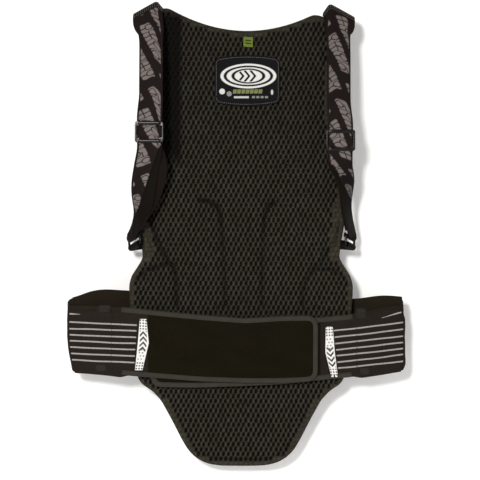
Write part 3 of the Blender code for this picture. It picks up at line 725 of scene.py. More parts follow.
# Painted light and shade on the ribs at each point of the outline: lightest in the middle of the upright
# ribs.
RIB_PAINTED_LIGHT = np.array((0.85, 0.45, 0.85, 0.45, 0.85, 1.2, 0.85, 0.45, 0.85, 0.45, 0.85, 1.2))
RIB_RISE = 1.1
HOLE_LEAN = 0.16


def cell_outline():
    """The twelve points of a cell's border: its corners and the middles between them."""
    made = []
    for first, second in zip(CELL_CORNERS, CELL_CORNERS[1:] + CELL_CORNERS[:1]):
        made.append(first)
        made.append(((first[0] + second[0]) / 2, (first[1] + second[1]) / 2))
    return np.array(made)


def net_painted_shade(x, z):
    """Painted shade on the net: it darkens its creases, the strap's shadow beside the left strap, and the
    upper part towards the neck.
    """
    return ((1 - CREASE_SHADE * crease_share(x, z)) * (1 - STRAP_SHADE * strap_shade(x, z))
            * (1 - 0.16 * smooth((z - 200) / 120)))


def make_net(name, low, top):
    """The air mesh between two heights: staggered oval holes with raised ribs between them."""
    outline = cell_outline()
    angles = np.arctan2(outline[:, 1] / 3.9, outline[:, 0] / 3.2)
    column, row = np.meshgrid(np.arange(-25, 26), np.arange(int(-170 / ROW_PITCH), int(432 / ROW_PITCH)))
    x = (column * HOLE_PITCH + (row % 2) * HOLE_PITCH / 2).ravel()
    z = (row * ROW_PITCH).ravel().astype(float)
    keep = (edge_distance(x, z) > -2.5) & (z > low) & (z < top)
    x, z = x[keep], z[keep]
    gathered = np.where(x < 0, 1 - np.abs(z - 129) / 32, 1 - np.abs(z - 141) / 46)
    open_cell = edge_distance(x, z) > 6.5 + 8.5 * smooth(1.8 * gathered)
    border = np.stack([x[:, None] + outline[:, 0], z[:, None] + outline[:, 1]], -1)
    keys = np.round(border * 50).astype(int).reshape(-1, 2)
    _, first, shared = np.unique(keys, axis=0, return_index=True, return_inverse=True)
    flat = [border.reshape(-1, 2)[first]]
    rises = [np.full(len(first), RIB_RISE)]
    # The "height" mark holds painted light and shade, not a height: painted highlights on the rib crests and
    # the sides of each ring, painted shade in the holes, the creases, the strap's shadow and towards the
    # neck, and tone that differs at random.
    heights = [net_painted_shade(*flat[0].T) * RIB_PAINTED_LIGHT[first % 12] * RANDOM.uniform(0.7, 1.2, len(first))]
    tone = net_painted_shade(x, z)[:, None] * (0.7 + 0.4 * np.abs(np.cos(angles)))
    tone = tone * RANDOM.uniform(0.6, 1.25, (len(x), 12))
    shared = shared.reshape(len(x), 12)
    count = len(first)
    bands = [shared]
    stretch = RANDOM.uniform(0.84, 1.1, (2, len(x), 1))
    shift = RANDOM.uniform(-0.32, 0.32, (2, len(x), 1))
    for wide, tall, rise, shade in CELL_RINGS:
        up = tall * stretch[0] * np.sin(angles)
        over = wide * stretch[1] * np.cos(angles) + HOLE_LEAN * up
        ring = np.stack([x[:, None] + shift[0] + over, z[:, None] + shift[1] + up], -1)
        flat.append(ring.reshape(-1, 2))
        blank = 0.75 - (0.75 - rise) * 0.15
        rises.append(np.repeat(np.where(open_cell, rise, blank), 12))
        heights.append((np.where(open_cell, shade, 0.7)[:, None] * tone).ravel())
        bands.append(count + np.arange(len(x) * 12).reshape(-1, 12))
        count += len(x) * 12
    flat = np.concatenate(flat)
    rise = np.concatenate(rises)
    faces = between_rings(bands) + bands[-1][~open_cell].tolist()
    wander_x = 0.45 * ripples(flat[:, 0], flat[:, 1], 60, 11)
    wander_z = 0.45 * ripples(flat[:, 0], flat[:, 1], 60, 12)
    px, pz = flat[:, 0] + wander_x, flat[:, 1] + wander_z
    pz = np.clip(pz, tail_edge(px) + 1.2, neck_edge(px) - 1.2)
    limit = half_width(pz) - 1.2
    px = np.clip(px, -limit, limit)
    uneven = 1 + 0.25 * ripples(px, pz, 17, 21)
    depth = net_depth(px, pz) - rise * np.where(rise > 0, uneven, 1.0)
    points = np.stack([px, depth, pz], -1)
    weave = np.stack([flat[:, 0], flat[:, 1], np.zeros(len(flat))], -1)
    return build(name, points, faces, NET, {"weave": weave, "height": np.concatenate(heights)})


def panel_grid(low, top, inset, step, depth):
    """Points over the panel between two heights; None stands for the tail's or the neck's edge."""
    bottom = TAIL_SIDE_END + inset if low is None else low
    head = SHOULDER - inset if top is None else top
    rows = int((head - bottom) / step) + 1
    columns = int(270 / step) + 1
    v, u = unit_grid(rows, columns)
    side = bottom + (head - bottom) * v
    x = (2 * u - 1) * (half_width(side) - inset)
    foot = tail_edge(x) + inset if low is None else np.full(x.shape, low)
    upper = neck_edge(x) - inset if top is None else np.full(x.shape, top)
    z = foot + (upper - foot) * v
    return np.stack([x, depth(x, z), z], -1)


def foam_thickness(x, z):
    return FOAM * (0.35 + 0.65 * smooth(edge_distance(x, z) / 25))


def cover_depth(x, z):
    """Middle of the outer cover, drawn in at its edge and a little uneven."""
    wrinkles = 0.5 * ripples(x, z, 26, 31) * smooth(1 - edge_distance(x, z) / 30)
    return back_depth(x, z) + LINING + foam_thickness(x, z) + 1.3 + wrinkles


def crossing(made):
    """Bake the placement of a piece that runs over a joint, the upper hinge or the tail's, into its points.
    """
    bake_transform(made)


def backing_depth(x, z):
    return net_depth(x, z) + BACKING_GAP


# The two long pieces of each layer: sections covered, then the heights of the net, its backing and the cover.
LAYERS = (
    ("upper", ("thoracic", "lumbar"), (0.0, 500.0), (-1.0, None), (0.0, None)),
    ("lower", ("lumbar", "tail"), (-200.0, 0.0), (None, 1.0), (None, 0.0)),
)


def make_panel():
    for part, sections, net_ends, backing_ends, cover_ends in LAYERS:
        net = make_net(f"{part}_lining", *net_ends)
        backing_grid = panel_grid(*backing_ends, 2.0, 4.5, backing_depth)
        cover_grid = panel_grid(*cover_ends, 2.5, 5.0, cover_depth)
        backing = slab(f"{part}_lining_backing", backing_grid, 0.6, BACKING)
        cover = slab(f"{part}_outer_cover", cover_grid[:, ::-1], COVER, COVER_LOOK)
        for piece, slot in ((net, "spacer_mesh"), (backing, "spacer_mesh"), (cover, "cover_cloth")):
            crossing(piece)
        for section in sections:
            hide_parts(f"{section}_lining")
            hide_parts(f"{section}_outer_cover")


def foam_front(x, z):
    return net_depth(x, z) + FOAM_GAP


def foam_middle(x, z):
    return (foam_front(x, z) + back_depth(x, z) + LINING + foam_thickness(x, z)) / 2


def make_foam():
    """The foam cores, thinned at their edges, one for each section."""
    for section, low, top in (("thoracic", NOTCH + 1.5, None), ("lumbar", TAIL_JOINT + 1.5, NOTCH - 1.5),
                              ("tail", None, TAIL_JOINT - 1.5)):
        grid = panel_grid(low, top, 6.0, 8.0, foam_middle)
        thick = 2 * (grid[..., 1] - foam_front(grid[..., 0], grid[..., 2]))
        core = slab(f"{section}_foam", grid, np.maximum(thick, 1.5), FOAM_LOOK)
        dress(core, f"{section}_panel", "foam", f"{section}_foam_core")


def side_line(side, low, top):
    z = np.arange(low, top, 3.0)
    return np.stack([side * half_width(z), z], -1)


def outline_path(lower):
    """The panel's edge as (x, z), from one side over the tail or the neck to the other."""
    if lower:
        x = np.linspace(-68, 68, 40)[1:-1]
        low, top, edge, way = TAIL_SIDE_END, 0.5, tail_edge, -1
    else:
        x = np.linspace(-125, 125, 70)
        low, top, edge, way = 0.0, SHOULDER - 5, neck_edge, 1
    left, right = side_line(-1, low, top)[::way], side_line(1, low, top)[::-way]
    return rounded(np.concatenate([left, np.stack([x, edge(x)], -1), right]), 2.5)


def rounded(path, step, passes=3):
    """Even points along a line with its corners eased."""
    path = even(path, step)
    for _ in range(passes):
        path[1:-1] = (path[:-2] + 2 * path[1:-1] + path[2:]) / 4
    return path


# The bound edge's cross-section: how far in from the panel's edge, and how deep from the lining's face.
TAPE_OUTER = ((5.6, 0.15), (5.2, -0.35), (3.4, -0.65), (1.6, -0.4), (0.5, 0.5), (0.0, 2.2), (0.0, 6.0),
              (0.6, 8.0), (2.0, 9.0), (5.0, 9.4), (5.6, 9.0))
TAPE_THICK = 0.9


def make_bindings():
    for part, lower in (("upper", False), ("lower", True)):
        flat = outline_path(lower)
        run = unit(np.gradient(flat, axis=0))
        inward = np.stack([run[:, 1], np.zeros(len(run)), -run[:, 0]], -1)
        if lower:
            inward = -inward
        depth = back_depth(flat[:, 0], flat[:, 1])
        path = np.stack([flat[:, 0], depth, flat[:, 1]], -1)
        outward = np.tile((0.0, 1.0, 0.0), (len(path), 1))
        outer = np.array(TAPE_OUTER)
        inner = outer[::-1].copy()
        inner[:, 0] += TAPE_THICK * np.array([0, .3, .6, .8, 1, 1, .8, .6, .3, 0, 0])
        inner[:, 1] += TAPE_THICK * np.array([-.7, -.9, -.8, -.6, 0, 0, .6, .8, .9, .9, .7])
        ring = np.concatenate([outer, inner])
        profile = np.broadcast_to(ring, (len(path), *ring.shape)).copy()
        along = np.cumsum(np.linalg.norm(np.gradient(flat, axis=0), axis=1))
        pucker = 0.28 * np.sin(2 * pi * along / 6.8) + 0.3 * ripples(along, along * 0, 23, 41)
        profile[:, :4, 1] -= np.maximum(pucker, -0.2)[:, None] * np.array([0.2, 0.6, 1.0, 0.7])
        profile[:, :2, 0] += 0.35 * ripples(along, along * 0, 31, 42)[:, None]
        tape = sweep(f"{part}_binding", path, inward, outward, profile, TAPE)
        crossing(tape)
        names = ("lumbar_binding_left", "lumbar_binding_right")
        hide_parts(*((*names, "tail_binding") if lower else (*names, "thoracic_binding")))
        line = path + inward * 4.2 + outward * (-0.75 - np.maximum(pucker, -0.2)[:, None] * 0.8)
        seam = seam_along(f"{part}_binding_stitches", line, -outward, GREY_THREAD, 3.2, 2.2, 0.28)
        crossing(seam)


PLATES = (
    ("thoracic_plate_1", 330, 388, 66, 0, 4.5),
    ("thoracic_plate_2", 262, 342, 76, 0, 4.5),
    ("thoracic_plate_3", 184, 274, 86, 0, 4.5),
    ("thoracic_plate_4", 101, 196, 96, 0, 8.0),
    ("lumbar_plate_1", 14, 104, 100, 2.7, 4.5),
    ("lumbar_plate_2", -64, 26, 92, 2.7, 4.5),
    ("tail_plate", -136, -61, 62, 0, 1.0),
)
RIDGE_HALF = 12.0
RIDGE = 3.0
FLAT_RIDGE = 30.0


def plate_point(u, v, low, top, half, base, stand):
    """A point of a plate's middle, and how far across the plate it is."""
    across = 2 * u - 1
    x = across * half * (1 - 0.12 * v)
    corner = 12 * np.abs(across) ** 6
    z = low + corner + (top - low - 2 * corner) * v
    depth = back_depth(x, z) + PLATE_BASE + base + stand * (1 - v) + PLATE / 2
    depth = depth + RIDGE * smooth((RIDGE_HALF + 5 - np.abs(x)) / 5)
    return np.stack([x, depth, z], -1), across


def make_plates():
    for name, low, top, half, base, stand in PLATES:
        v, u = unit_grid(30, 72)
        mid, across = plate_point(1 - u, v, low, top, half, base, stand)
        x = mid[..., 0]
        if name == "lumbar_plate_1":
            level = smooth((RIDGE_HALF + 2 - np.abs(x)) / 3)
            mid[..., 1] += (FLAT_RIDGE - PLATE / 2 - mid[..., 1]) * level
        lift = np.zeros(x.shape)
        for share in (0.38, 0.56, 0.74):
            rib = np.exp(-((np.abs(across) - share) * half / 2.2) ** 4)
            lift += 0.8 * rib * smooth((v - 0.12) / 0.1) * smooth((0.8 - v) / 0.1)
        rim = np.minimum(np.minimum(v, 1 - v) * (top - low), (1 - np.abs(across)) * half)
        lift += 0.5 * smooth((5 - rim) / 2)
        plate = slab(name.replace("plate", "shell"), mid, PLATE, SHELL, front_lift=lift * smooth(rim / 1.5))
        body = name.split("_")[0] + "_panel"
        dress(plate, body, "hard_shell", name)
        if name != "tail_plate":
            make_rivets(name, body)


RIVET_TOP = 1.5
RIVET_RINGS = ((1.2, 1.45), (2.4, 1.15), (3.3, 0.65), (3.9, 0.1), (4.0, -0.25), (3.8, -0.5))
RIVET_TURNS = 24


def make_rivets(name, body):
    """Domed rivet heads, over the CAD model's plain ones."""
    turns = RIVET_TURNS
    angles = 2 * pi * np.arange(turns) / turns
    for side in ("left", "right"):
        node = f"{name}_rivet_{side}"
        lowest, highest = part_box(node)
        centre = np.array((lowest + highest) / 2 / MM)
        points = [[centre + (0, RIVET_TOP, 0)]]
        for radius, height in RIVET_RINGS:
            offsets = np.stack([radius * np.cos(angles), np.full(turns, height), radius * np.sin(angles)], -1)
            points.append(centre + offsets)
        rings = 1 + np.arange(len(RIVET_RINGS) * turns).reshape(-1, turns)
        faces = [(0, 1 + (turn + 1) % turns, 1 + turn) for turn in range(turns)]
        faces += between_rings(rings) + [rings[-1].tolist()]
        rivet = build(f"{name}_rivet_head_{side}", np.concatenate(points), faces, STEEL)
        face_outwards(rivet)
        dress(rivet, body, "rivet_steel", node)


# ---------------------------------------------------------------- labels

def inside_box(u, v, left, right, low, top, edge=0.5):
    """1 inside a box of the sheet and 0 outside, with a soft edge."""
    inward = np.minimum(np.minimum(u - left, right - u), np.minimum(v - low, top - v))
    return np.clip(inward / edge + 0.5, 0, 1)


def inside_oval(u, v, centre_u, centre_v, radius_u, radius_v, edge=0.5):
    away = np.hypot((u - centre_u) / radius_u, (v - centre_v) / radius_v)
    return np.clip((1 - away) * min(radius_u, radius_v) / edge + 0.5, 0, 1)


EMBLEM = (9.4, 338)


def emblem_ring(x, z, outer, inner):
    return inside_oval(x, z, *EMBLEM, *outer) * (1 - inside_oval(x, z, *EMBLEM, *inner))


def label_print(x, z):
    """A plain emblem, an oval in two rings with three dark chevrons, over rows of dots and bars."""
    ink = np.maximum.reduce([emblem_ring(x, z, (35.5, 15.6), (31.6, 13.2)),
                             emblem_ring(x, z, (27.6, 11.0), (21.6, 9.6)),
                             inside_oval(x, z, *EMBLEM, 17.5, 7.8)])
    point = x + 0.85 * np.abs(z - EMBLEM[1])
    for tip in (3, 10.5, 18):
        chevron = np.clip((1.7 - np.abs(point - tip)) / 0.5 + 0.5, 0, 1) * inside_box(x, z, -40, 60, 331, 345)
        ink = ink * (1 - chevron * inside_oval(x, z, *EMBLEM, 16, 7.4))
    for strength, *oval in ((0.9, -24, 318.5, 3.6, 3.6), (0.35, -15, 315.5, 3.2, 3.2),
                            (0.8, 39.5, 317.5, 1.5, 3.2)):
        ink = np.maximum(ink, strength * inside_oval(x, z, *oval))
    ink = np.maximum(ink, 0.75 * inside_box(x, z, -9, 10, 310, 312.4))
    for start in (14, 19.5, 25, 30.5):
        ink = np.maximum(ink, 0.32 * inside_box(x, z, start, start + 3.8, 310, 312.6))
    return ink


BLOCK_STARTS = (-10, -4.6, 0.8, 6.2, 11.6, 17.0, 22.4)
BLOCK_ENDS = (-5.6, -0.2, 5.2, 10.6, 16.0, 21.4, 27.0)


def make_label():
    left, right, low, top = LABEL_BOX
    v, u = unit_grid(150, 200)
    half_u, half_v = (right - left) / 2, (top - low) / 2
    corner, bow = 5.0, 5.0
    across = 2 * u - 1
    cut = np.maximum(np.abs(across) * half_u - (half_u - corner), 0)
    drop = corner - np.sqrt(np.maximum(corner ** 2 - cut ** 2, 0))
    x = (left + right) / 2 + across * half_u
    z = (low + top) / 2 + (2 * v - 1) * (half_v + bow * (1 - across ** 2) - drop)
    mid = np.stack([x, net_depth(x, z) - 2.0, z], -1)
    label = slab("neck_label_print", mid, 0.8, LABEL, paint=lambda *_: label_print(x, z), relief=0.12)
    dress(label, "thoracic_panel", "label_cloth", "neck_label")
    edge = np.array([mid[place] for place in around(150, 200) + [(0, 0)]])
    centre = np.array([(left + right) / 2, 0, (low + top) / 2])
    line = edge + unit((centre - edge) * (1, 0, 1)) * 2.2 + np.array((0, -0.55, 0))
    seam = seam_along("neck_label_stitches", line, TO_WEARER, PALE_THREAD, 2.6, 1.9, 0.3)
    dress(seam, "thoracic_panel", "label_cloth")
    rows, columns = unit_grid(8, 6)
    for letter, start, end in zip("abcdefg", BLOCK_STARTS, BLOCK_ENDS):
        x = start + (end - start) * columns + (rows - 0.5) * 0.8
        z = 316 + 5 * rows
        mid = np.stack([x, net_depth(x, z) - 2.5, z], -1)
        dress(slab(f"neck_label_block_{letter}", mid, 0.3, LABEL_LIME), "thoracic_panel", "label_cloth")


def make_tag():
    rows, columns = unit_grid(30, 28)
    x = 3.4 + 11.4 * columns
    z = 375.3 + 12.2 * rows - 0.8 * columns
    mid = np.stack([x, net_depth(x, z) - 1.9 - 0.6 * np.sin(pi * rows), z], -1)

    def paint(u, v):
        return inside_box(u, v, -3.5, 3.5, 3.4, 5) + inside_box(u, v, -3.5, 3.5, 7, 8.6)

    tag = slab("size_tag_cloth", mid, 0.7, TAG, paint=paint)
    dress(tag, "thoracic_panel", "tag_cloth", "size_tag")


# ---------------------------------------------------------------- straps

WEBBING_WIDTH = 30.0
WEBBING_THICK = 2.0
STRAPS = (
    ("left", -1, -117, -116.5, -135.5, 264.5, (14, -27.7, 7.6), (0.71, 0.48), (225, 88)),
    ("right", 1, 126, 126.5, 138.5, 254, (11.5, 29.4, -5), (0.42, 0.30), (258, 85)),
)
FOLD_HEIGHT = 436.0
RING_HEIGHT_ON_SIDE = 134.0
RING_DEPTH = -2.0
BOW_DEPTH = -32.0
EYE_RADIUS = 3.2
RING_BAR = 1.5
RING_LENGTH = 36.0
RING_HEIGHT = 12.0
# The shoulder folds: their middle X, and the fold's height at offsets across the webbing.
HEADS = {
    "left": (-117.3, (-18.2, 8.5, 11.5, 18.2), (417.0, 432.0, 432.0, 424.0)),
    "right": (124.5, (-19.0, -12.0, -9.0, 19.0), (419.0, 428.6, 428.6, 413.2)),
}


def bar_frame(bar):
    """Down and front directions square to a ring's bar."""
    down = np.array((0.0, 0.0, -1.0))
    down = unit(down - bar * down.dot(bar))
    front = unit(np.cross(bar, down))
    return down, (-front if front[1] > 0 else front)


def strap_route(fold_x, slider_x, slider_z, end, eye_start, sways):
    """Centres of the webbing from the shoulder fold through the slider to the ring's eye."""
    upper_x = slider_x + (fold_x - slider_x) * 0.5
    upper = [(fold_x, 8, FOLD_HEIGHT - 2.5), (fold_x, 0, FOLD_HEIGHT), (fold_x, -9, FOLD_HEIGHT - 5),
             (fold_x, -16, 414), (upper_x, -25, 372), (upper_x, -30.5, 325),
             (slider_x, BOW_DEPTH, slider_z + 29)]
    shift = slider_x - end[0]
    lower = [(slider_x, BOW_DEPTH, slider_z + 29), (slider_x, BOW_DEPTH, slider_z - 29),
             tuple(end + np.array((shift * sways[0], -22, 66))),
             tuple(end + np.array((shift * sways[1], -10.5, 32))),
             tuple(eye_start)]
    return np.concatenate([through(upper, 97)[:-1], through(lower, 81)])


def strap_grid(centres, across, width, columns):
    """Points over a strip that follows centres, facing away from the panel."""
    run = unit(np.gradient(centres, axis=0))
    wide = unit(across - run * (run * across).sum(1, keepdims=True))
    offset = np.linspace(-0.5, 0.5, columns) * width
    return centres[:, None] + wide[:, None] * offset[None, :, None]


LANE = 25.5
LANE_SLOPE = 0.45
BLOCK = 12.2
CHAIN = 61.0
PRINT_WIDTH = 16.0
# Below the sliders the webbing turns over along these lines of (height, X), and its plain side shows, painted
# dark as its own colour and as painted shade.
TURN_LINES = {
    -1: ((155, -137), (171, -129.5), (207, -117), (244, -104), (256, -95)),
    1: ((170, 150), (185, 136), (200, 127), (215, 121), (230, 108)),
}


def turned_over(side, x, z):
    """Millimetres inwards from the turn line: above 0 the webbing's plain side shows."""
    heights, places = np.array(TURN_LINES[side], float).T
    return side * (np.interp(z, heights, places) - x)


def strap_print(side, x, z):
    head_x, offsets, heights = HEADS["left" if side < 0 else "right"]
    crest = np.interp(x - head_x, offsets, heights)

    def paint(u, v):
        """Chains of plain blocks that run slantwise down the webbing, each with a notch."""
        place = u + LANE_SLOPE * v + 400 + 5 * side
        lane = np.floor(place / LANE)
        within = place - lane * LANE
        chain = np.mod(v + lane * 37 + 8 * side, CHAIN)
        number = np.floor(chain / BLOCK)
        part = chain - number * BLOCK
        sides = np.minimum(within, PRINT_WIDTH - within)
        ends = np.minimum(part - 0.4, BLOCK - 0.4 - part)
        corner = np.hypot(np.maximum(2.2 - sides, 0), np.maximum(2.2 - ends, 0))
        ink = np.clip(np.minimum(np.minimum(sides, ends), 2.2 - corner) / 0.6 + 0.5, 0, 1)
        odd = np.mod(number + lane, 2)
        centre = np.where(odd > 0.5, 12.0, 4.0)
        arc = np.abs(np.hypot(within - centre, (part - 6.1) * 1.25) - 4.6)
        arc = np.where((within - centre) * (odd - 0.5) < 2.0, arc, 9.0)
        bar = np.where(odd > 0.5, np.abs(part - 6.1) + 9 * (within > 8),
                       np.abs(within - 10.5) + 9 * (part > 7))
        cross = np.minimum(np.abs(within - PRINT_WIDTH / 2), np.abs(part - BLOCK / 2))
        cut = np.where(np.mod(number + 2 * lane, 3) > 0.5, np.minimum(arc, bar), cross)
        ink = ink * np.clip((cut - 0.5) / 0.4, 0, 1) * (number < 4)
        edge = np.clip((WEBBING_WIDTH / 2 - 1.4 - np.abs(u)) / 0.5, 0, 1)
        turned_shaded = np.clip(turned_over(side, x, z), 0, 1)
        # Below 0 on the turned-over side, which the material paints dark: its plain colour and painted shade.
        return ink * edge * smooth((z - 146) / 4) * smooth((crest - 9 - z) / 2) * (1 - turned_shaded) - turned_shaded
    return paint


def make_straps():
    for name, side, fold_x, slider_x, ring_x, slider_z, bar_way, sways, (twist_from, twist_over) in STRAPS:
        bar = unit(bar_way)
        end = np.array((ring_x, RING_DEPTH, RING_HEIGHT_ON_SIDE), float)
        down, front = bar_frame(bar)
        angles = np.linspace(0, 1.25 * pi, 16)[:, None]
        turn = end + EYE_RADIUS * (np.cos(angles) * front + np.sin(angles) * down)
        centres = np.concatenate([strap_route(fold_x, slider_x, slider_z, end, turn[0], sways), turn[1:]])
        centres = even(centres, 0.8)
        share = smooth((twist_from - centres[:, 2]) / twist_over)[:, None]
        across = np.array((1.0, 0, 0)) * (1 - share) + bar * share
        sway = 0.5 * ripples(centres[:, 2], centres[:, 2] * 0, 120, 51 + side)
        centres[:, 0] += sway * smooth((centres[:, 2] - 150) / 40)
        head_x, offsets, heights = HEADS[name]
        folded = smooth((centres[:, 2] - 374) / 58)
        centres[:, 0] += (head_x - fold_x) * folded
        below = 1 - smooth((centres[:, 2] - 396) / 30)
        bowed = smooth((centres[:, 2] - slider_z - 14) / 36) * below
        held = smooth((centres[:, 2] - slider_z + 44) / 26) * below
        centres[:, 0] -= side * (2.2 * held + 1.8 * bowed)
        tilt = radians(18) * bowed[:, None] * side
        across = across * np.cos(tilt) + np.array((0, 1.0, 0)) * np.sin(tilt)
        grid = strap_grid(centres, across, WEBBING_WIDTH, 56)
        offset = np.linspace(-0.5, 0.5, 56) * WEBBING_WIDTH
        widened = 2 * offsets[-1] / WEBBING_WIDTH - 1
        grid[..., 0] += widened * offset * folded[:, None]
        drop = np.interp(offset * (1 + widened), offsets, heights) - FOLD_HEIGHT - 1
        grid[..., 2] += drop * folded[:, None]
        grid[..., 1] -= 0.5 * (1 - (np.linspace(-1, 1, 56)) ** 2)
        grid[..., 1] += 1.6 * smooth(turned_over(side, grid[..., 0], grid[..., 2]) / 2.5)
        facing = grid[::-1]
        strap = slab(f"{name}_webbing", facing, WEBBING_THICK, WEBBING,
                     paint=strap_print(side, facing[..., 0], facing[..., 2]), relief=0.08)
        make_fold_stitches(name, grid)
        dress(strap, f"{name}_strap", "strap_webbing", f"{name}_strap")
        make_return(name, centres, across, slider_z)
        make_slider(name, slider_x - side * 1.9, slider_z)
        make_ring(name, end, bar, down)
        make_anchor(name, side)
        make_tab(name, side, end, bar, down)


def make_fold_stitches(name, grid):
    """Rows of stitches over the webbing's fold at the shoulder."""
    top = int(np.argmax(grid[:, 28, 2]))
    starts, ends, outs = [], [], []
    for row in (top + 8, top + 12, top + 16):
        path = grid[row, 2:-2]
        outward = unit(np.cross(grid[row, 3:-1] - grid[row, 2:-2], grid[row + 1, 2:-2] - grid[row, 2:-2]))
        outward = outward * np.where(outward[:, 2:3] - outward[:, 1:2] > 0, 1, -1)
        picked = stitch_row(path + outward * 1.2, outward, pitch=2.9, length=1.2)
        for held, found in zip((starts, ends, outs), picked):
            held.append(found)
    seam = stitches(f"{name}_fold_stitches", np.concatenate(starts), np.concatenate(ends),
                    np.concatenate(outs), PALE_THREAD, radius=0.55)
    dress(seam, f"{name}_strap", "strap_webbing")


def make_return(name, centres, across, slider_z):
    """The webbing's second layer, behind the strap from the ring's eye to the slider."""
    height = centres[:, 2]
    pick = (height > RING_HEIGHT_ON_SIDE + 12) & (height < slider_z - 16) & (centres[:, 1] < -4)
    run = unit(np.gradient(centres, axis=0))[pick]
    wide = unit(across[pick] - run * (run * across[pick]).sum(1, keepdims=True))
    out = np.cross(run, wide)
    out = out * np.sign(out[:, 1])[:, None]
    height = height[pick]
    clear = 3.0 * smooth((height - slider_z + 44) / 12)
    route = centres[pick] + out * (WEBBING_THICK + 0.8 + clear[:, None])
    drift = smooth((slider_z - 14 - height) / 34) * smooth((height - 150) / 60)
    route[:, 0] += (12.0 if name == "left" else -1.0) * drift
    grid = strap_grid(route, across[pick], WEBBING_WIDTH - 2, 16)
    layer = slab(f"{name}_webbing_return", grid[::-1], WEBBING_THICK, PLAIN_WEBBING)
    dress(layer, f"{name}_strap", "strap_webbing", f"{name}_strap_return")


def rounded_box(shape, centre, size):
    """Adds a box to a bmesh."""
    made = bmesh.ops.create_cube(shape, size=1.0)
    for point in made["verts"]:
        point.co = Vector((point.co.x * size[0] + centre[0], point.co.y * size[1] + centre[1],
                           point.co.z * size[2] + centre[2]))


def make_slider(name, slider_x, slider_z):
    """The moulded tri-glide, its boxes fused and rounded."""
    shape = bmesh.new()
    length, width, depth = 27.0, 36.0, 7.4
    rail, end_bar, bend = 2.4, 4.6, 3.4
    side = (width - rail) / 2
    end = (length - end_bar) / 2
    for x in (-side, side):
        rounded_box(shape, (x, 0, 0), (rail, depth, length - 2 * bend))
    for z in (-end, end):
        rounded_box(shape, (0, -2.5, z), (width - 2 * bend, 2.2, end_bar))
        rounded_box(shape, (0, -3.4, z), (width - 3 * bend, 1.4, 2.4))
        for x in (-1, 1):
            bmesh.ops.create_cone(shape, cap_ends=True, segments=24, radius1=bend, radius2=bend, depth=3.4,
                                  matrix=Matrix.Translation((x * (width / 2 - bend), -1.9,
                                                             np.sign(z) * (length / 2 - bend)))
                                  @ Matrix.Rotation(radians(90), 4, "X"))
    rounded_box(shape, (0, 2.6, 0), (width - 1, 2.0, 5.5))
    bmesh.ops.scale(shape, vec=(MM, MM, MM), verts=shape.verts[:])
    mesh = bpy.data.meshes.new(f"{name}_slider_moulding")
    shape.to_mesh(mesh)
    shape.free()
    slider = bpy.data.objects.new(f"{name}_slider_moulding", mesh)
    bpy.context.scene.collection.objects.link(slider)
    fuse = slider.modifiers.new("fuse", "REMESH")
    fuse.mode = "VOXEL"
    fuse.voxel_size = 0.45 * MM
    ease = slider.modifiers.new("ease", "SMOOTH")
    ease.factor = 0.5
    ease.iterations = 8
    fused = bpy.data.meshes.new_from_object(slider.evaluated_get(bpy.context.evaluated_depsgraph_get()))
    slider.modifiers.clear()
    slider.data = fused
    for point in fused.vertices:
        point.co += Vector((slider_x * MM, BOW_DEPTH * MM, slider_z * MM))
    fused.materials.clear()
    fused.materials.append(BUCKLE)
    fused.shade_smooth()
    dress(slider, f"{name}_slider", "buckle_plastic", f"{name}_slider")


def ring_points(centre, bar, down, steps):
    """The ring's centreline: a long loop with rounded corners."""
    corner = 3.0
    half_long = RING_LENGTH / 2 - corner
    half_high = RING_HEIGHT / 2 - corner
    points = []
    for quarter, (long_side, high_side) in enumerate(((1, 1), (-1, 1), (-1, -1), (1, -1))):
        for step in range(steps):
            angle = pi / 2 * (quarter + step / (steps - 1))
            along = long_side * half_long + corner * cos(angle)
            high = high_side * half_high + corner * sin(angle)
            points.append(centre + bar * along + down * high)
    return np.array(points)


def make_ring(name, end, bar, down):
    points = ring_points(end + down * RING_HEIGHT / 2, bar, down, 9)
    run = unit(np.roll(points, -1, 0) - np.roll(points, 1, 0))
    up = np.tile(unit(np.cross(bar, down)), (len(points), 1))
    side = unit(np.cross(run, up))
    angles = np.linspace(0, 2 * pi, 15)[:-1]
    profile = np.stack([RING_BAR * np.cos(angles), RING_BAR * np.sin(angles)], -1)
    ring = sweep(f"{name}_ring_wire", points, side, up, profile, BUCKLE, closed=True)
    dress(ring, f"{name}_ring", "buckle_plastic", f"{name}_ring")


def make_anchor(name, side):
    """The webbing's end, sewn on the outer cover with a crossed box of stitches, under the strap's fold."""
    head_x, offsets, heights = HEADS[name]
    foot, head = side * 106.0, head_x - side
    rows, columns = unit_grid(40, 16)
    columns = 0.5 - columns
    top = np.interp(head + columns * WEBBING_WIDTH - head_x, offsets, heights) - 6
    x = foot + (head - foot) * rows + columns * WEBBING_WIDTH
    z = 382 + (np.minimum(top, 428) - 382) * rows

    def depth_at(x, z):
        level = np.minimum(z, neck_edge(x) - 1)
        return back_depth(x, level) + LINING + foam_thickness(x, level) + 0.9 + COVER + 2.2

    anchor = slab(f"{name}_anchor_webbing", np.stack([x, depth_at(x, z), z], -1), 2.0, PLAIN_WEBBING)
    dress(anchor, "thoracic_panel", "strap_webbing", f"{name}_strap_anchor")
    low_left, low_right, top_left, top_right = (-11, 385), (11, 385), (-11, 404), (11, 404)
    line = even([low_left, low_right, top_right, top_left, low_left, top_right, low_right, top_left], 1.0)
    line[:, 0] += foot + (head - foot) * (line[:, 1] - 382) / 44
    path = np.stack([line[:, 0], depth_at(line[:, 0], line[:, 1]) + 1.15, line[:, 1]], -1)
    seam = seam_along(f"{name}_anchor_stitches", path, (0.0, 1.0, 0.0), GREY_THREAD, 2.8, 2.0, 0.35)
    dress(seam, "thoracic_panel", "strap_webbing")


